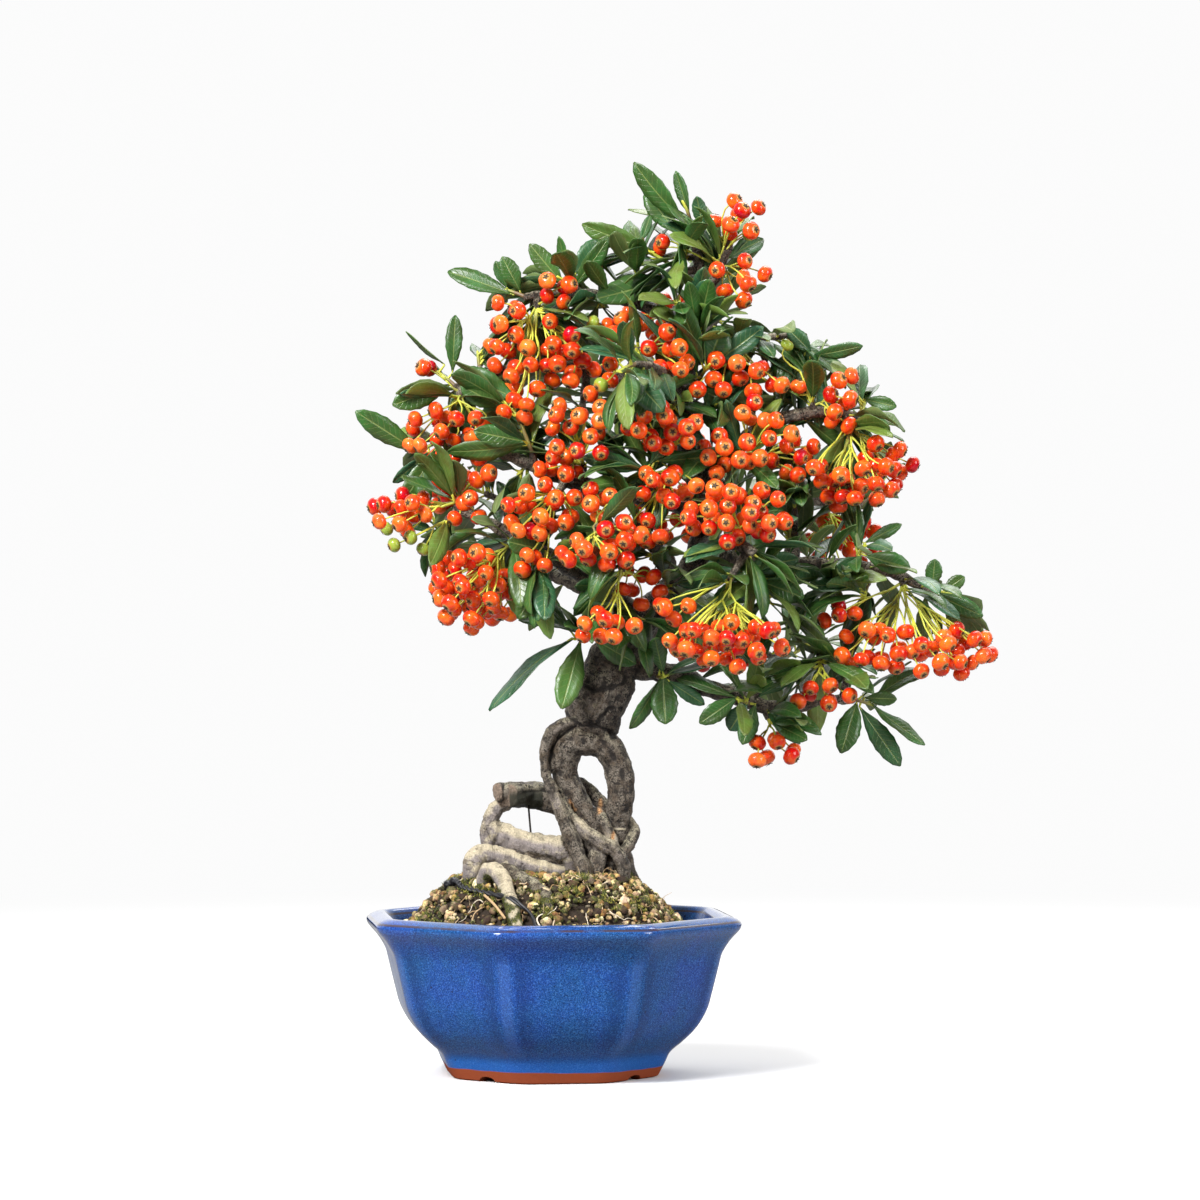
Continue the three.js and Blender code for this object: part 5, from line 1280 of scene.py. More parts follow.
def leavesOf(shoot, seed):  # the leaves that show at the edge, then the rest round the stem
    stem = placed(shoot["stem"])
    leaves = []
    samples = curveThrough(stem, np.arange(17) / 16)
    for i, (baseX, baseZ, tipX, tipZ, seenWidth) in enumerate(shoot["shown"]):
        draw = seeded(seed * 100 + i)
        aim = placed([baseX, shoot["stem"][1][1], baseZ])
        near = samples[int(np.linalg.norm(samples - aim, axis=1).argmin())]
        base = placed([baseX, near[1], baseZ])
        seenLength = math.hypot(tipX - baseX, tipZ - baseZ)
        tip = placed([tipX, near[1] + (draw() - 0.62) * 0.6 * seenLength, tipZ])
        length = np.linalg.norm(tip - base)
        width = min(max(seenWidth, leafForm["slim"] * length), leafForm["broadest"])
        roll = math.acos(min(seenWidth / width, 1)) * (1 if draw() < 0.7 else -1)
        axis = unit(tip - base)
        normal = turned(np.array([0, -1.0, 0]), axis, roll if axis[0] > 0 else -roll)
        leaves.append({"root": near, "base": base, "tip": tip, "normal": normal, "width": width,
                       "bow": (draw() - 0.3) * 0.16, "shown": True})
    for k in range(shoot["more"]):
        draw = seeded(seed * 100 + 50 + k)
        t = (k + 0.8) / (shoot["more"] + 0.3)
        leaves.append(leafRound(stem, t, k * goldenAngle, draw))
    return [leaf for leaf in leaves if leaf]


def leafRound(stem, t, angle, draw):  # a leaf on a stem, turned round it until its tip is in the crown
    root, before, after = (curveThrough(stem, at)[0] for at in (t, t - 0.05, min(t + 0.05, 1)))
    tangent = unit(after - before)
    side = np.array([0.2, 0.3, 0.93])
    side = turned(unit(side - tangent * (side @ tangent)), tangent, angle + draw() * 0.8)
    lean, length = 0.75 + 0.4 * draw(), 21 + 9 * draw()
    for turn in range(5):
        side = turned(side, tangent, goldenAngle if turn else 0)
        axis = unit(side * math.sin(lean) + tangent * math.cos(lean))
        base = root + 2.5 * axis
        tip = base + axis * length
        if insideCrown(tip):
            break
    if not insideCrown(tip):
        return None
    normal = np.array([0, 0, 1]) + side * (-0.35 + 0.5 * draw())
    width, bow = length * (0.25 + 0.09 * draw()), 0.02 + 0.16 * draw()
    normal = turned(normal, axis, leafForm["roll"] * (draw() - 0.5))
    return {"root": root, "base": base, "tip": tip, "normal": normal, "width": width, "bow": bow,
            "shown": False}


def leafMaterial():
    material, tree, shader = newMaterial("leaf", **{"Specular IOR Level": 0.5})
    blade = apart(vector(tree, "blade"))
    tone, under, place = value(tree, "tone"), value(tree, "under"), objectPlace(tree)
    across = maths("ABSOLUTE", blade[0])
    rib = spread(across, 0.1, 0.02)
    slant = maths("SUBTRACT", blade[1], times(across, 0.14))
    veins = maths("PINGPONG", times(slant, leafLooks["veins"]), 0.5)
    veins = times(spread(veins, 0.1, 0.0), spread(across, 1.0, 0.7))
    green = blend(spread(tone, 0.62, 1.1), leafLooks["green"], leafLooks["light"])
    green = blend(spread(tone, 0.35, 0.0, 0.0, 0.8), green, leafLooks["blue"])
    tinted = useGroup(tintGroup, Colour=green, Place=place, Size=leafLooks["tint"], Amount=0.5)
    upper = blend(times(veins, 0.25), tinted.outputs[0], leafLooks["rib"])
    upper = blend(times(rib, 0.6), upper, leafLooks["rib"])
    lower = blend(times(rib, 0.7), leafLooks["under"], leafLooks["underRib"])
    colour = blend(under, upper, lower)
    gloss = spread(noise(place, leafLooks["gloss"]), 0.3, 0.7, 0.3, 0.42)
    rough = plus(gloss, times(under, 0.25))
    height = plus(times(veins, -0.6), times(rib, -1.0))
    height = plus(height, times(noise(place, leafLooks["grain"], 2.0), 0.5))
    plain(shader, colour=colour, roughness=rough, normal=bump(height, 0.5, 0.0003))
    return material


def stemMaterial():
    material, tree, shader = newMaterial("green_stem", **{"Roughness": 0.45})
    place = objectPlace(tree)
    share = plus(noise(place, stemLooks["patches"]), times(value(tree, "woody"), 0.6))
    colour = ramp(share, *stemLooks["colours"])
    fine = noise(place, stemLooks["grain"])
    plain(shader, colour=colour, normal=bump(fine, 0.3, 0.0002))
    return material


# Berries, each slightly flat, with a dimple and a dark star at the end away from its stalk
berryForm = {
    "radius": 3.68, "flat": 0.85, "room": 7.5, "offLeaf": 4.5, "around": 16, "rings": 9,
    "mainStalk": 0.52, "fork": 0.36, "stalk": 0.32, "outward": 0.75,
    "red": (0.52, 0.01, 0.002), "orange": (0.83, 0.068, 0.006), "light": (0.92, 0.15, 0.022),
    "unripe": (0.3, 0.4, 0.05), "brown": (0.16, 0.035, 0.012), "pore": (0.95, 0.5, 0.2),
    "star": (0.014, 0.01, 0.007), "starDust": (0.2, 0.12, 0.05), "rim": (0.5, 0.27, 0.07),
    "tint": 220.0, "pores": 1500.0, "gloss": 500.0, "grain": 900.0, "starGrain": 4200.0,
}


def berriesOf(bunch, seed, taken):
    berries = []
    for part, (x, y, z, halfX, halfY, halfZ, count) in enumerate(bunch["parts"]):
        draw = seeded(seed * 10 + part)
        middle, found = placed([x, y, z]), 0
        for _ in range(60 * count):
            if found >= count:
                break
            u = np.array([2 * draw() - 1, 2 * draw() - 1, 2 * draw() - 1])
            if u @ u > 1:
                continue
            at = middle + u * [halfX, halfY, halfZ]
            if taken and np.linalg.norm(np.array(taken) - at, axis=1).min() < berryForm["room"]:
                continue
            taken.append(at)
            found += 1
            berries.append((at, part))
    return berries


def berryTemplate():  # a unit berry whose star points along +Z
    around, rings = berryForm["around"], berryForm["rings"]
    angles = np.arange(around) * 2 * math.pi / around
    points = []
    for polar in np.linspace(0.16, math.pi - 0.12, rings):
        dimple = 0.16 * math.exp(-((polar / 0.42) ** 2)) + 0.1 * math.exp(-(((math.pi - polar) / 0.4) ** 2))
        height = (math.cos(polar) * berryForm["flat"]) * (1 - dimple)
        ring = math.sin(polar) * (1 + 0.02 * np.sin(5 * angles))
        level = np.full(around, height)
        points.append(np.column_stack([ring * np.cos(angles), ring * np.sin(angles), level]))
    points = np.vstack(points + [[[0, 0, 0.7]], [[0, 0, -0.76]]])
    faces = [face[::-1] for face in gridFaces(rings, around)]
    north, south, last = rings * around, rings * around + 1, (rings - 1) * around
    for k in range(around):
        faces.append([north, k, (k + 1) % around])
        faces.append([south, last + (k + 1) % around, last + k])
    star = [[0, 0, 0.74]]
    for k in range(10):
        out = 0.42 if k % 2 == 0 else 0.15
        rise = 0.86 if k % 2 == 0 else 0.78
        star.append([out * math.cos(k * math.pi / 5), out * math.sin(k * math.pi / 5), rise])
    star = np.array(star)
    under = star - [0, 0, 0.05]
    starFaces = []
    for k in range(10):
        a, b = 1 + k, 1 + (k + 1) % 10
        starFaces += [[0, a, b], [11, 11 + b, 11 + a], [a, a + 11, b + 11, b]]
    return points, faces, np.vstack([star, under]), starFaces


def addBerry(shape, at, axis, size, tone, spin, template, kind=None):
    points, faces, star, starFaces = template
    side = unit(np.cross(axis, [0.3, 0.2, 0.9]))
    side = turned(side, axis, spin)
    turn = np.array([side, np.cross(axis, side), axis])
    odds = {kind: 1.0} if kind else {}
    shape.add(at + points @ turn * size, faces, 0, tone=tone, skin=points, **odds)
    shape.add(at + star @ turn * size, starFaces, 1, tone=tone)


def berryMaterial():
    material, tree, shader = newMaterial("berry", **{
        "Coat Weight": 0.65, "Coat Roughness": 0.07, "Coat IOR": 1.45, "Specular IOR Level": 0.15,
    })
    skin = apart(vector(tree, "skin"))
    tone, place = value(tree, "tone"), objectPlace(tree)
    colour = ramp(tone, (0.0, berryForm["red"]), (0.45, berryForm["orange"]), (0.9, berryForm["light"]))
    colour = blend(value(tree, "unripe"), colour, berryForm["unripe"])
    colour = blend(value(tree, "brown"), colour, berryForm["brown"])
    tinted = useGroup(tintGroup, Colour=colour, Place=place, Size=berryForm["tint"], Amount=0.25)
    far = plus(times(skin[0], skin[0]), times(skin[1], skin[1]))
    far = maths("SQRT", far)
    front = spread(skin[2], 0.2, 0.5)
    halo = times(spread(far, 0.75, 0.4, 0.0, 0.35), front)
    colour = blend(halo, tinted.outputs[0], berryForm["light"])
    rim = times(spread(far, 0.5, 0.42), front)
    colour = blend(times(rim, 0.85), colour, berryForm["rim"])
    deep = times(spread(far, 0.22, 0.12), front)
    colour = blend(deep, colour, berryForm["star"])
    pores = useGroup(speckGroup, Place=place, Size=berryForm["pores"], Cover=0.4, Edge=0.1)
    colour = blend(times(pores.outputs[0], 0.12), colour, berryForm["pore"])
    rough = spread(noise(place, berryForm["gloss"]), 0.3, 0.7, 0.24, 0.36)
    height = plus(noise(place, berryForm["grain"], 2.0), times(rim, -0.5))
    plain(shader, colour=colour, roughness=rough, normal=bump(height, 0.25, 0.0002))
    return material


def starMaterial():
    material, tree, shader = newMaterial("berry_star", **{"Roughness": 0.75})
    grit = noise(objectPlace(tree), berryForm["starGrain"], 2.0)
    colour = blend(spread(grit, 0.45, 0.7), berryForm["star"], berryForm["starDust"])
    plain(shader, colour=colour, normal=bump(grit, 0.5, 0.0002))
    return material


# Where every berry and every leaf goes, so that they keep clear of each other
crownAxis = np.array([50.0, 8.0])
hanging = {  # how far the berries of a bunch look outward instead of along their stalks
    "far_right": 0.15, "low_right": 0.4, "right": 0.35, "low_left": 0.3, "skirt_mid": 0.3, "skirt_right": 0.3,
    "top_left": 0.5, "crown": 0.5, "left": 0.4,
}
leafPlan = {
    "mayHide": 1, "hideNear": 3.2, "hideDeep": 40, "room": 4.3, "lessRoom": 3.9, "tries": 9,
    "perBunch": 7, "perBranch": 13, "perFiller": 8,
}
moreBerries = {  # further parts of some bunches
    "left": [[-60, -24, 222, 11, 5, 9, 9]],
    "top_left": [[-8, -27, 279, 8, 5, 6, 6], [-14, -30, 266, 9, 6, 6, 7]],
    "upper_right": [[86, -22, 276, 9, 5, 5, 5], [66, -26, 274, 8, 5, 5, 4]],
    "right": [[124, -34, 238, 14, 5, 8, 12], [106, -34, 240, 6, 5, 7, 4]],
    "far_right": [[146, -24, 167, 19, 5, 8, 12]],
    "low_left": [[-34, -44, 196, 14, 4, 14, 12]],
    "mid_left": [[-7, -36, 206, 8, 5, 5, 5]],
    "front_mid": [[31, -60, 216, 10, 5, 6, 7]],
    "high_left": [[-40, -22, 262, 10, 5, 6, 5]],
    "front_left": [[12, -44, 251, 10, 4, 5, 6]],
    "low_right": [[70, -72, 174, 22, 4, 7, 8]],
    "centre_right": [[88, -34, 256, 8, 5, 6, 6]],
}
taken = []
bunchBerries = {name: berriesOf(bunch, i + 1, taken) for i, (name, bunch) in enumerate(bunches.items())}
for i, (name, parts) in enumerate(moreBerries.items()):
    first = len(bunches[name]["parts"])
    bunchBerries[name] += [(at, first + part) for at, part in berriesOf({"parts": parts}, 60 + i, taken)]
    bunches[name]["parts"] += parts
shootLeaves = {name: leavesOf(shoot, i + 1) for i, (name, shoot) in enumerate(shoots.items())}
edgePoints = np.vstack([
    leafCentre(leaf, np.linspace(0.1, 0.95, 9)) + step * leafFrame(leaf)[0] * leaf["width"] * 0.36
    for leaves in shootLeaves.values() for leaf in leaves if leaf["shown"] for step in (-1, 0, 1)
])
leafTree = treeOf(edgePoints)
berryPlaces = {}
for name, berries in bunchBerries.items():
    berryPlaces[name] = []
    for at, part in berries:
        for _ in range(3):  # pushed off a leaf that it would meet
            point, _, distance = leafTree.find(at)
            if distance < berryForm["offLeaf"] - 0.1:
                at = at + unit(at - np.array(point)) * (berryForm["offLeaf"] - distance)
        berryPlaces[name].append((at, part))
allBerries = [at for berries in berryPlaces.values() for at, _ in berries]
berryTree = treeOf(allBerries)


def seenAt(points):  # where points show as seen from the camera, in the plan's own x and z
    points = np.atleast_2d(points)
    reach = -eye[1] / (points[:, 1] - eye[1])
    return eye[0::2] + (points[:, 0::2] - eye[0::2]) * reach[:, None]


def sprayPoints():  # along each bunch's stalks, and its berries
    points = [np.array(allBerries)]
    for bunch in bunches.values():
        start = placed(bunch["from"])
        for middle in placed([part[:3] for part in bunch["parts"]]):
            points.append(start + np.linspace(0.1, 0.8, 6)[:, None] * (middle - start))
    return np.vstack(points)


toShow = sprayPoints()
toShowSeen = seenAt(toShow)


def hidesBerries(points):  # whether points of a leaf are in front of berries or their stalks
    seen = seenAt(points)
    hidden = 0
    for place, point in zip(seen, points):
        near = np.linalg.norm(toShowSeen - place, axis=1) < leafPlan["hideNear"]
        deeper = toShow[:, 1] - point[1]
        hidden += bool((near & (deeper > 1) & (deeper < leafPlan["hideDeep"])).any())
    return hidden > leafPlan["mayHide"]


def clearLeaf(leaf, room):  # whether a leaf keeps off the berries and hides hardly any
    half = leafFrame(leaf)[0] * leaf["width"] * 0.3
    centre = leafCentre(leaf, np.linspace(0.2, 1, 6))
    if not all(berryTree.find(point + step * half)[2] > room for point in centre for step in (-1, 0, 1)):
        return False
    return not hidesBerries(centre)


def clearLeaves(leaves, stemOf, seed):  # leaves turned round their stem until they miss the berries
    kept = []
    for k, leaf in enumerate(leaves):
        if leaf["shown"] or clearLeaf(leaf, leafPlan["room"]):
            kept.append(leaf)
            continue
        draw = seeded(seed * 1000 + k)
        for _ in range(leafPlan["tries"]):
            other = leafRound(stemOf, 0.15 + 0.8 * draw(), 6.28 * draw(), draw)
            if other and clearLeaf(other, leafPlan["lessRoom"]):
                kept.append(other)
                break
    return kept


def addStem(shape, stem, sizes, stations, sides):  # a green stem, woody where it starts
    path = curveThrough(stem, np.linspace(0, 1, stations))
    points, faces, along = tube(path, np.linspace(*sizes, stations), sides)
    shape.add(points, faces, 1, woody=1 - along / along.max())


leafSurface, stemSurface = leafMaterial(), stemMaterial()
leafCount = 0
for i, (name, shoot) in enumerate(shoots.items()):
    stem = placed(shoot["stem"])
    shape = Shape()
    leaves = clearLeaves(shootLeaves[name], stem, i + 1)
    for k, leaf in enumerate(leaves):
        addLeaf(shape, leaf, 100 * i + k)
    addStem(shape, stem, [0.95, 0.55], 12, 8)
    makePiece("leaves_" + name, shape, [leafSurface, stemSurface], ["leaves_" + name])
    leafCount += len(leaves)
print("stage: shoots with", leafCount, "leaves")

# Leaves inside the crown, and short leafy twigs where the crown would be open
shape = Shape()
innerStems = [
    (np.array([start - 3 * heading, start + 3 * heading]), leafPlan["perBunch"])
    for start, heading in map(startOfBunch, bunches.values())
]
for points in branches.values():
    path = curveThrough(placed(points), np.linspace(0.35, 1, 6))[:, :3]
    innerStems.append((path, leafPlan["perBranch"]))


def addInner(shape, stems, seed):
    added = 0
    for i, (stem, count) in enumerate(stems):
        leaves = []
        for k in range(count):
            draw = seeded(seed + 40 * i + k)
            leaves.append(leafRound(stem, (k + 0.5) / count, k * goldenAngle, draw))
        for k, leaf in enumerate(clearLeaves([leaf for leaf in leaves if leaf], stem, seed // 80 + i)):
            addLeaf(shape, leaf, 9000 + seed + 30 * i + k)
            added += 1
    return added


innerCount = addInner(shape, innerStems, 5000)
fillerShape = Shape()
fillerCount = addInner(fillerShape, [(stem, leafPlan["perFiller"]) for stem in fillerStems], 8000)
for stem in fillerStems:
    addStem(fillerShape, stem, [0.9, 0.5], 6, 7)
makePiece("inner_leaves", shape, [leafSurface, stemSurface], [])
makePiece("filling_leaves", fillerShape, [leafSurface, stemSurface], [])
print("stage: inner leaves", innerCount, "and filling leaves", fillerCount)


def bentTube(shape, start, end, heading, size, sides=5, **values):  # a stalk that ends in this direction
    lean = end - heading * 0.45 * np.linalg.norm(end - start)
    t = np.linspace(0, 1, 5)[:, None]
    path = bowed(start, lean, end, t)
    addTube(shape, path, np.linspace(size * 1.25, size, 5), sides, 0, 2, **values)
    return path


def gathered(places, size):  # berries in small groups of near neighbours
    left, groups = list(range(len(places))), []
    while left:
        first = left[0]
        left.sort(key=lambda k: np.linalg.norm(places[k] - places[first]))
        groups.append(left[:size])
        left = left[size:]
    return groups


def addBunch(shape, bunch, berries, first, seed, lookOut):
    rng = np.random.default_rng(seed)
    start, heading = startOfBunch(bunch)
    unripe = 1.0 if bunch.get("unripe") else 0.0
    for part, middle in enumerate(bunch["parts"]):
        end = placed(middle[:3]) * 0.3 + start * 0.7
        stalk = bentTube(shape, start - heading, end, unit(end - start), berryForm["mainStalk"], 6, woody=0.4)
        own = [k for k, (_, which) in enumerate(berries) if which == part]
        places = [berries[k][0] for k in own]
        for group in gathered(places, 3):
            centre = np.mean([places[k] for k in group], axis=0)
            root = stalk[int(rng.integers(2, 5))]
            fork = root * 0.72 + centre * 0.28 + [0, -0.4, 0.8]
            bentTube(shape, root, fork, unit(centre - root), berryForm["fork"], woody=0.1)
            for k in group:
                at = places[k]
                outward = np.append(unit(at[:2] - crownAxis), -0.35)
                axis = unit(unit(at - fork) + lookOut * outward + rng.normal(size=3) * 0.22)
                kind = odd.get(first + own[k])
                size = berryForm["radius"] * rng.uniform(0.9, 1.04) * (0.82 if kind or unripe else 1)
                tone = float(np.clip(rng.normal(0.42, 0.22), 0, 1))
                addBerry(shape, at, axis, size, tone, rng.uniform(0, 6.28), template, kind)
                back = at - axis * size * 0.7
                bentTube(shape, fork, back, axis, berryForm["stalk"], woody=0.0)
    shape.values = [
        (start, count, {"unripe": unripe, **values} if "skin" in values else values)
        for start, count, values in shape.values
    ]


oddBerries = {  # single berries as seen from the front, x and z
    "unripe": [[12, 300], [14.4, 277.6], [98, 284.8], [80, 330.8], [-65.6, 219.6]], "brown": [[18, 212.4]],
}
fromFront = seenAt(np.array(allBerries))
odd = {
    int((np.linalg.norm(fromFront - spot, axis=1) + 0.12 * np.array(allBerries)[:, 1]).argmin()): kind
    for kind, spots in oddBerries.items() for spot in spots
}
template = berryTemplate()
berrySurfaces = [berryMaterial(), starMaterial(), stemSurface]
first = 0
for i, (name, bunch) in enumerate(bunches.items()):
    shape = Shape()
    addBunch(shape, bunch, berryPlaces[name], first, 700 + i, hanging.get(name, berryForm["outward"]))
    first += len(berryPlaces[name])
    makePiece("berries_" + name, shape, berrySurfaces, ["berries_" + name])
print("stage: bunches with", len(allBerries), "berries")


# Soil, with granules, moss, rootlets and a straw
soilForm = {
    "spacing": 2.3, "between": 2.8, "chipShare": 0.6, "large": (1.0, 2.1), "small": (0.45, 1.05),
    "reach": 65, "wireRoom": 1.7, "under": 2.1, "tufts": 1150, "mossReach": 55, "rootlets": 60, "fibres": 26,
    "straw": 0.55, "strawFrom": [-27.2, -37.5, 71.4], "strawTo": [-19.2, -50.5, 62.4],
}
soilLooks = {
    "dark": (0.008, 0.006, 0.004), "crumb": (0.05, 0.03, 0.016), "streak": (0.2, 0.12, 0.06),
    "granules": [
        (0.0, (0.012, 0.007, 0.004)), (0.28, (0.06, 0.033, 0.016)), (0.42, (0.32, 0.17, 0.05)),
        (0.54, (0.62, 0.45, 0.24)), (0.66, (0.1, 0.052, 0.025)), (0.8, (0.8, 0.64, 0.4)),
        (0.9, (0.42, 0.24, 0.08)), (1.0, (0.13, 0.105, 0.075)),
    ],
    "moss": [
        (0.0, (0.02, 0.03, 0.006)), (0.5, (0.1, 0.12, 0.018)), (0.85, (0.3, 0.27, 0.04)),
        (1.0, (0.5, 0.44, 0.08)),
    ],
    "rootlets": [(0.0, (0.6, 0.45, 0.28)), (0.5, (0.45, 0.28, 0.12)), (1.0, (0.78, 0.7, 0.55))],
    "grit": 900.0, "tint": 420.0, "pores": 2400.0, "fibre": 1500.0,
}


def soilHeight(x, y):
    across, deep = np.asarray(x) - mound["middle"][0], (np.asarray(y) - mound["middle"][1]) / mound["depth"]
    far = np.hypot(across, deep)
    levels = np.array(mound["heights"])
    return np.interp(far, levels[:, 0], levels[:, 1])


def soilRadius(angle):  # how far the soil reaches inside the pot
    turnedBy = (angle - potTurn + halfSide) % (2 * halfSide) - halfSide
    return soilForm["reach"] * math.cos(halfSide) / np.cos(turnedBy)


def makeSoil():
    shape = Shape()
    rings = [potRing(height, radius) for height, radius in soilSide]
    wall = rings[-1]
    for share in np.linspace(0.99, 0.02, 46):
        ring = wall[:, :2] * share
        lumps = 0.9 * waves(np.column_stack([ring, np.zeros(len(ring))]), 5, 71)
        rings.append(np.column_stack([ring, soilHeight(ring[:, 0], ring[:, 1]) + lumps - soilForm["under"]]))
    around = len(wall)
    faces = gridFaces(len(rings), around)
    faces += [list(range(around))[::-1], list(range((len(rings) - 1) * around, len(rings) * around))]
    shape.add(np.vstack(rings), faces)
    return shape


def stoneTemplate(detail):
    mesh = bmesh.new()
    bmesh.ops.create_icosphere(mesh, subdivisions=detail, radius=1)
    points = np.array([vertex.co[:] for vertex in mesh.verts])
    faces = [[vertex.index for vertex in face.verts] for face in mesh.faces]
    mesh.free()
    return points, faces


def scattered(spacing, seed):  # places on the mound, on a jittered grid
    rng = np.random.default_rng(seed)
    steps = np.arange(-70, 70, spacing)
    for x in steps:
        for y in steps:
            px, py = x + rng.uniform(-0.5, 0.5) * spacing, y + rng.uniform(-0.5, 0.5) * spacing
            if math.hypot(px, py) < soilRadius(math.atan2(py, px)) - 1.2:
                yield np.array([px, py, float(soilHeight(px, py))]), rng


def makeGranules():
    shape = Shape()
    fine, coarse = stoneTemplate(2), stoneTemplate(1)
    wire = evenly(placed(tieWire), 1.0)
    places = [(at, rng, False) for at, rng in scattered(soilForm["spacing"], 81)]
    places += [(at, rng, True) for at, rng in scattered(soilForm["between"], 83)]
    for at, rng, small in places:
        small = small or rng.random() < soilForm["chipShare"]
        points, faces = coarse if small else fine
        size = rng.uniform(*soilForm["small" if small else "large"])
        stretch = size * rng.uniform(0.7, 1.25, 3)
        turn = np.linalg.qr(rng.normal(size=(3, 3)))[0]
        dented = points * (1 + 0.22 * waves(points + rng.uniform(-9, 9, 3), 1.4, 82)[:, None])
        rise = (rng.uniform(-0.1, 1.1) if small else rng.uniform(-0.45, 0.5)) * size
        tone = rng.random()
        if np.linalg.norm(wire - at - [0, 0, rise], axis=1).min() > size + soilForm["wireRoom"]:
            shape.add(dented * stretch @ turn + at + [0, 0, rise], faces, 0, tone=tone)
    return shape


def makeMoss():
    shape = Shape()
    rng = np.random.default_rng(91)
    count = 0
    while count < soilForm["tufts"]:
        x, y = rng.uniform(-56, 56, 2)
        point = np.array([[x, y, 0.0]])
        outside = math.hypot(x - mound["middle"][0], y) > soilForm["mossReach"]
        if outside or waves(point, 15, 92)[0] < rng.uniform(0.2, 1.0):
            continue
        count += 1
        root = np.array([x, y, float(soilHeight(x, y)) + rng.uniform(0.1, 0.9)])
        for _ in range(6):
            lean = unit(np.array([*rng.normal(size=2) * 0.75, 1.0]))
            tip = root + lean * rng.uniform(1.0, 2.2) + [*rng.normal(size=2) * 0.4, 0]
            side = unit(np.cross(lean, rng.normal(size=3))) * 0.22
            other = np.cross(lean, side)
            base = root + [*rng.normal(size=2) * 0.6, -0.3]
            points = np.array([base + side, base - 0.5 * side + other, base - 0.5 * side - other, tip])
            shape.add(points, [[0, 2, 1], [0, 1, 3], [1, 2, 3], [2, 0, 3]], 0, tone=rng.random())
    return shape


def makeRootlets():
    shape = Shape()
    rng = np.random.default_rng(95)
    for _ in range(soilForm["rootlets"]):
        angle, far = rng.uniform(0, 2 * math.pi), rng.uniform(20, 54)
        place = far * facing(angle) + mound["middle"]
        way, path = rng.uniform(0, 2 * math.pi), []
        for k in range(9):
            path.append([*place, float(soilHeight(*place)) + 0.9 + 0.8 * math.sin(k * 1.1) * rng.random()])
            way += rng.normal() * 0.55
            place = place + 1.5 * facing(way)
        path = curveThrough(path, np.linspace(0, 1, 22))
        addTube(shape, path, np.linspace(0.3, 0.1, 22) * rng.uniform(0.6, 1.2), 5, 1, tone=rng.random())
    for _ in range(soilForm["fibres"]):  # fine hairs that stand up from the mound
        angle, far = rng.uniform(-2.6, 0.6), rng.uniform(24, 50)
        foot = far * facing(angle) + mound["middle"]
        foot = np.append(foot, float(soilHeight(*foot)) + 0.3)
        aside = np.array([*rng.normal(size=2) * 2.2, 0])
        tip = foot + 1.2 * aside + [0, 0, rng.uniform(1.8, 4.5)]
        path = curveThrough([foot, foot + 0.4 * aside + [0, 0, 2.2], tip], np.linspace(0, 1, 9))
        addTube(shape, path, np.linspace(0.16, 0.07, 9), 4, 1, tone=rng.random() * 0.5)
    path = np.linspace(placed(soilForm["strawFrom"]), placed(soilForm["strawTo"]), 8)
    path[:, 2] += 0.7 * np.sin(np.linspace(0, math.pi, 8))
    addTube(shape, path, soilForm["straw"], 7, 1, tone=0.35)
    return shape


def soilMaterials():
    base, tree, shader = newMaterial("soil_base", **{"Roughness": 0.95})
    place = objectPlace(tree)
    grit = noise(place, soilLooks["grit"], 4.0, 0.7)
    colour = blend(grit, soilLooks["dark"], soilLooks["crumb"])
    mossed = useGroup(mossGroup, Colour=colour, Place=place, Cover=0.4)
    plain(shader, colour=mossed.outputs[0], normal=bump(grit, 0.8, 0.0008))
    granule, tree, shader = newMaterial("granule", **{"Roughness": 0.9})
    place = objectPlace(tree)
    colour = ramp(value(tree, "tone"), *soilLooks["granules"])
    tinted = useGroup(tintGroup, Colour=colour, Place=place, Size=soilLooks["tint"], Amount=0.9)
    mossed = useGroup(mossGroup, Colour=tinted.outputs[0], Place=place, Cover=0.56)
    pores = noise(place, soilLooks["pores"], 3.0, 0.7)
    plain(shader, colour=mossed.outputs[0], normal=bump(pores, 0.8, 0.0004))
    moss, tree, shader = newMaterial("moss", **{"Roughness": 0.7})
    plain(shader, colour=ramp(value(tree, "tone"), *soilLooks["moss"]))
    fibre, tree, shader = newMaterial("rootlet", **{"Roughness": 0.7})
    colour = ramp(value(tree, "tone"), *soilLooks["rootlets"])
    streak = noise(objectPlace(tree), soilLooks["fibre"])
    colour = blend(spread(streak, 0.4, 0.7, 0.0, 0.4), colour, soilLooks["streak"])
    plain(shader, colour=colour, normal=bump(streak, 0.4, 0.0002))
    return base, granule, moss, fibre


for name, shape, surface in zip(
    ("soil_mound", "soil_granules", "soil_moss", "soil_rootlets"),
    (makeSoil(), makeGranules(), makeMoss(), makeRootlets()), soilMaterials(),
):
    makePiece(name, shape, [surface], ["soil"])
print("stage: soil")


# Tie wire, two strands that are twisted together at its end, and the guy wire
wireForm = {
    "strand": 0.62, "apart": 0.5, "turns": 7.5, "guy": 0.4, "black": (0.016, 0.016, 0.019),
    "dark": (0.003, 0.003, 0.003), "rust": (0.02, 0.012, 0.008), "scuffs": 700.0, "rustGrain": 900.0,
}


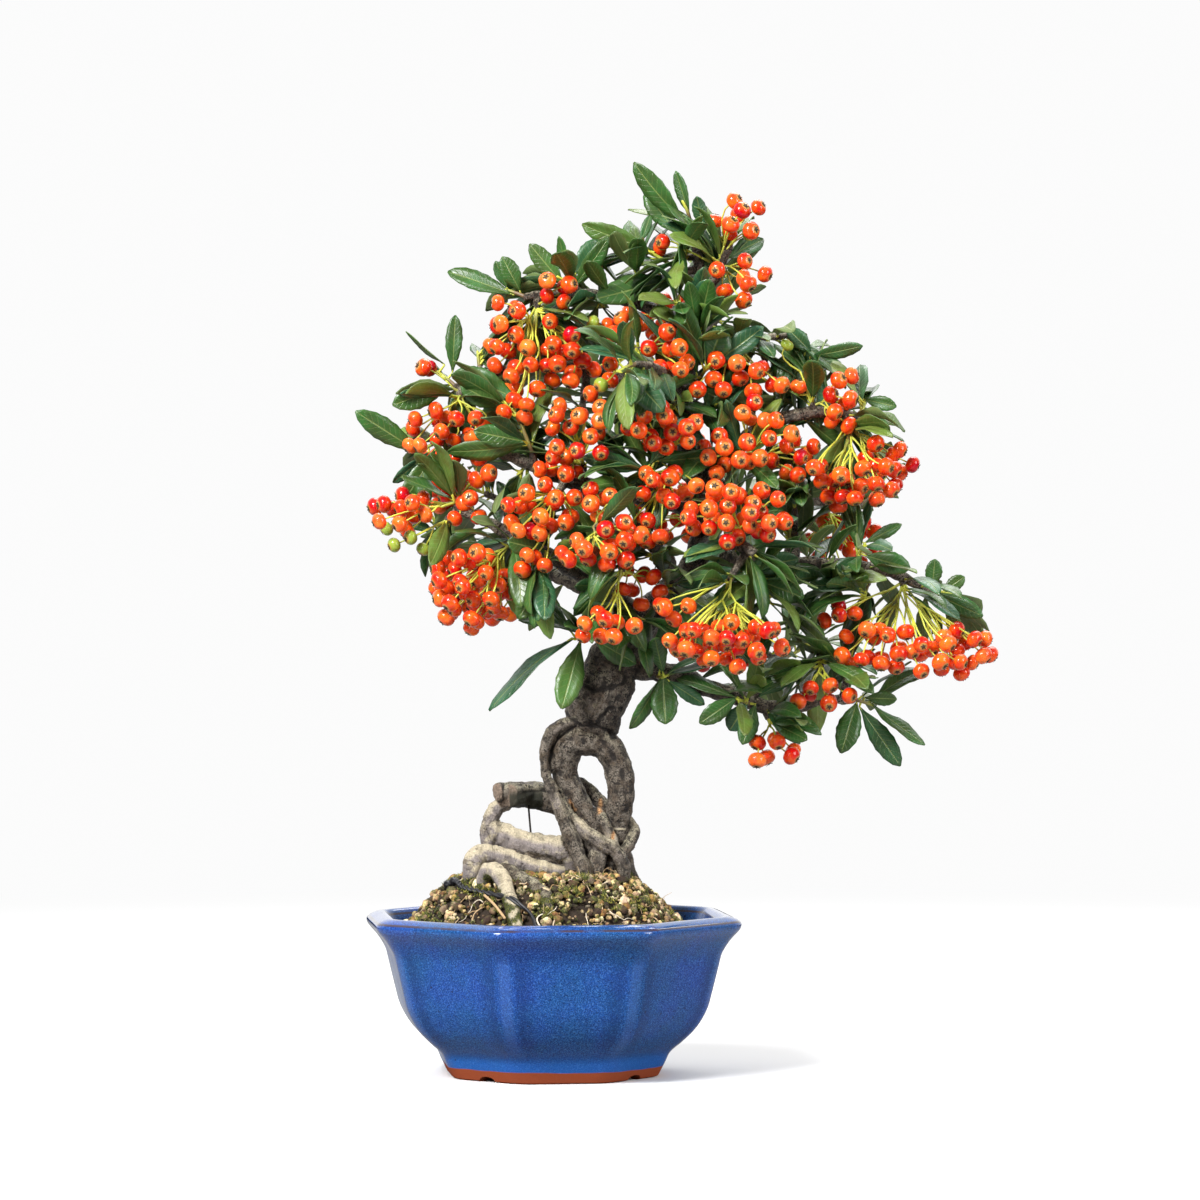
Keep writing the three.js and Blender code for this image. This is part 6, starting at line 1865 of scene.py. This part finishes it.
def makeTieWire():
    shape = Shape()
    path = evenly(placed(tieWire), 0.6)
    share = np.linspace(0, 1, len(path))
    angle = 2 * math.pi * wireForm["turns"] * (1 - (1 - share) ** 2.4)
    tangents = unit(np.gradient(path, axis=0))
    side = unit(np.cross(tangents, [0, 0, 1.0]))
    other = np.cross(tangents, side)
    for half in (0, math.pi):
        off = side * np.cos(angle + half)[:, None] + other * np.sin(angle + half)[:, None]
        addTube(shape, path + off * wireForm["apart"], wireForm["strand"], 10, 3)
    for x, y, z, radius in wireTwist:
        loop = np.linspace(0, 1.6 * math.pi, 12)
        curl = 0.62 * radius * np.column_stack([np.cos(loop), 0.3 * loop - 0.7, np.sin(loop)])
        addTube(shape, placed([x, y, z]) + curl, wireForm["strand"], 10, 3)
    return shape


wireSurface, tree, shader = newMaterial("black_wire", **{"Base Color": wireForm["black"]})
scuffs = noise(stretched(objectPlace(tree), (1, 1, 3)), wireForm["scuffs"], 4.0, 0.7)
rough = spread(scuffs, 0.35, 0.7, 0.3, 0.55)
plain(shader, roughness=rough, normal=bump(scuffs, 0.3, 0.0002))
makePiece("tie_wire_strands", makeTieWire(), [wireSurface], ["tie_wire"])
thinSurface, tree, shader = newMaterial("thin_wire", **{"Roughness": 0.6, "Specular IOR Level": 0.2})
rust = noise(objectPlace(tree), wireForm["rustGrain"], 4.0, 0.7)
colour = blend(rust, wireForm["dark"], wireForm["rust"])
plain(shader, colour=colour, normal=bump(rust, 0.3, 0.0002))
guyShape = Shape()
guyPath = curveThrough(placed(guyWire), np.linspace(0, 1, 16))
addTube(guyShape, guyPath, wireForm["guy"], 9)
makePiece("guy_wire_strand", guyShape, [thinSurface], ["guy_wire"])
print("stage: wires")


# Floor, light and background
studio = {
    "floor": 0.8, "bounce": 0.3, "backdrop": 0.97, "behind": 0.4, "front": 0.13, "top": 0.5,
    "fadeFrom": 0.35, "fadeTo": 1.1, "mirrored": 1.1,
}
softLights = [  # place in metres, width, height, strength in watts
    ((-1.0, -1.4, 1.4), 0.7, 0.7, 82), ((1.6, -1.0, 0.9), 0.9, 0.9, 24), ((0.3, 1.0, 1.6), 1.2, 1.2, 24),
    ((-0.93, -1.54, 0.35), 0.1, 1.0, 5), ((1.54, -0.93, 0.35), 0.1, 1.0, 5),
]
bpy.ops.mesh.primitive_plane_add(size=30, location=(0, 0, 0))
floor = bpy.context.object
floor.name = "floor"
floorSurface, tree, shader = newMaterial("floor", **{"Specular IOR Level": 0.0, "Emission Strength": 1.0})
place = objectPlace(tree)
away = addNode(tree, "VectorMath", {0: place}, operation="LENGTH").outputs["Value"]
far = spread(away, studio["fadeFrom"], studio["fadeTo"])
white, black = (studio["backdrop"],) * 3, (0.0, 0.0, 0.0)
direct = addNode(tree, "LightPath").outputs["Is Camera Ray"]
pale = blend(direct, (studio["bounce"],) * 3, (studio["floor"],) * 3)
plain(shader, colour=blend(far, pale, black))
seen = times(far, direct)
tree.links.new(blend(seen, black, white), shader.inputs["Emission Color"])
floor.data.materials.append(floorSurface)
middle = Vector(list(potMiddle))
aim = middle + Vector((0.03, 0, 0.17))
for i, (place, width, high, power) in enumerate(softLights):
    lamp = bpy.data.lights.new("softbox_%d" % i, "AREA")
    lamp.shape = "RECTANGLE"
    lamp.size = width
    lamp.size_y = high
    lamp.energy = power
    light = linked(lamp.name, lamp)
    light.location = Vector(place) + middle
    light.rotation_euler = (aim - light.location).to_track_quat("-Z", "Y").to_euler()
world = bpy.data.worlds.new("studio")
world.use_nodes = True
tree = world.node_tree
sky = next(node for node in tree.nodes if node.type == "BACKGROUND")
direction = apart(addNode(tree, "TexCoord").outputs["Generated"])
behind = spread(direction[1], 0.1, 0.6)
above = spread(direction[2], 0.2, 0.8)
dim = blend(above, (studio["front"],) * 3, (studio["top"],) * 3)
rays = addNode(tree, "LightPath").outputs
wall = blend(rays["Is Glossy Ray"], (studio["behind"],) * 3, (studio["mirrored"],) * 3)
wall = blend(rays["Is Camera Ray"], wall, white)
feed(sky.inputs["Color"], blend(behind, dim, wall))
bpy.context.scene.world = world
bpy.context.scene.view_settings.view_transform = "Standard"
print("stage: studio")
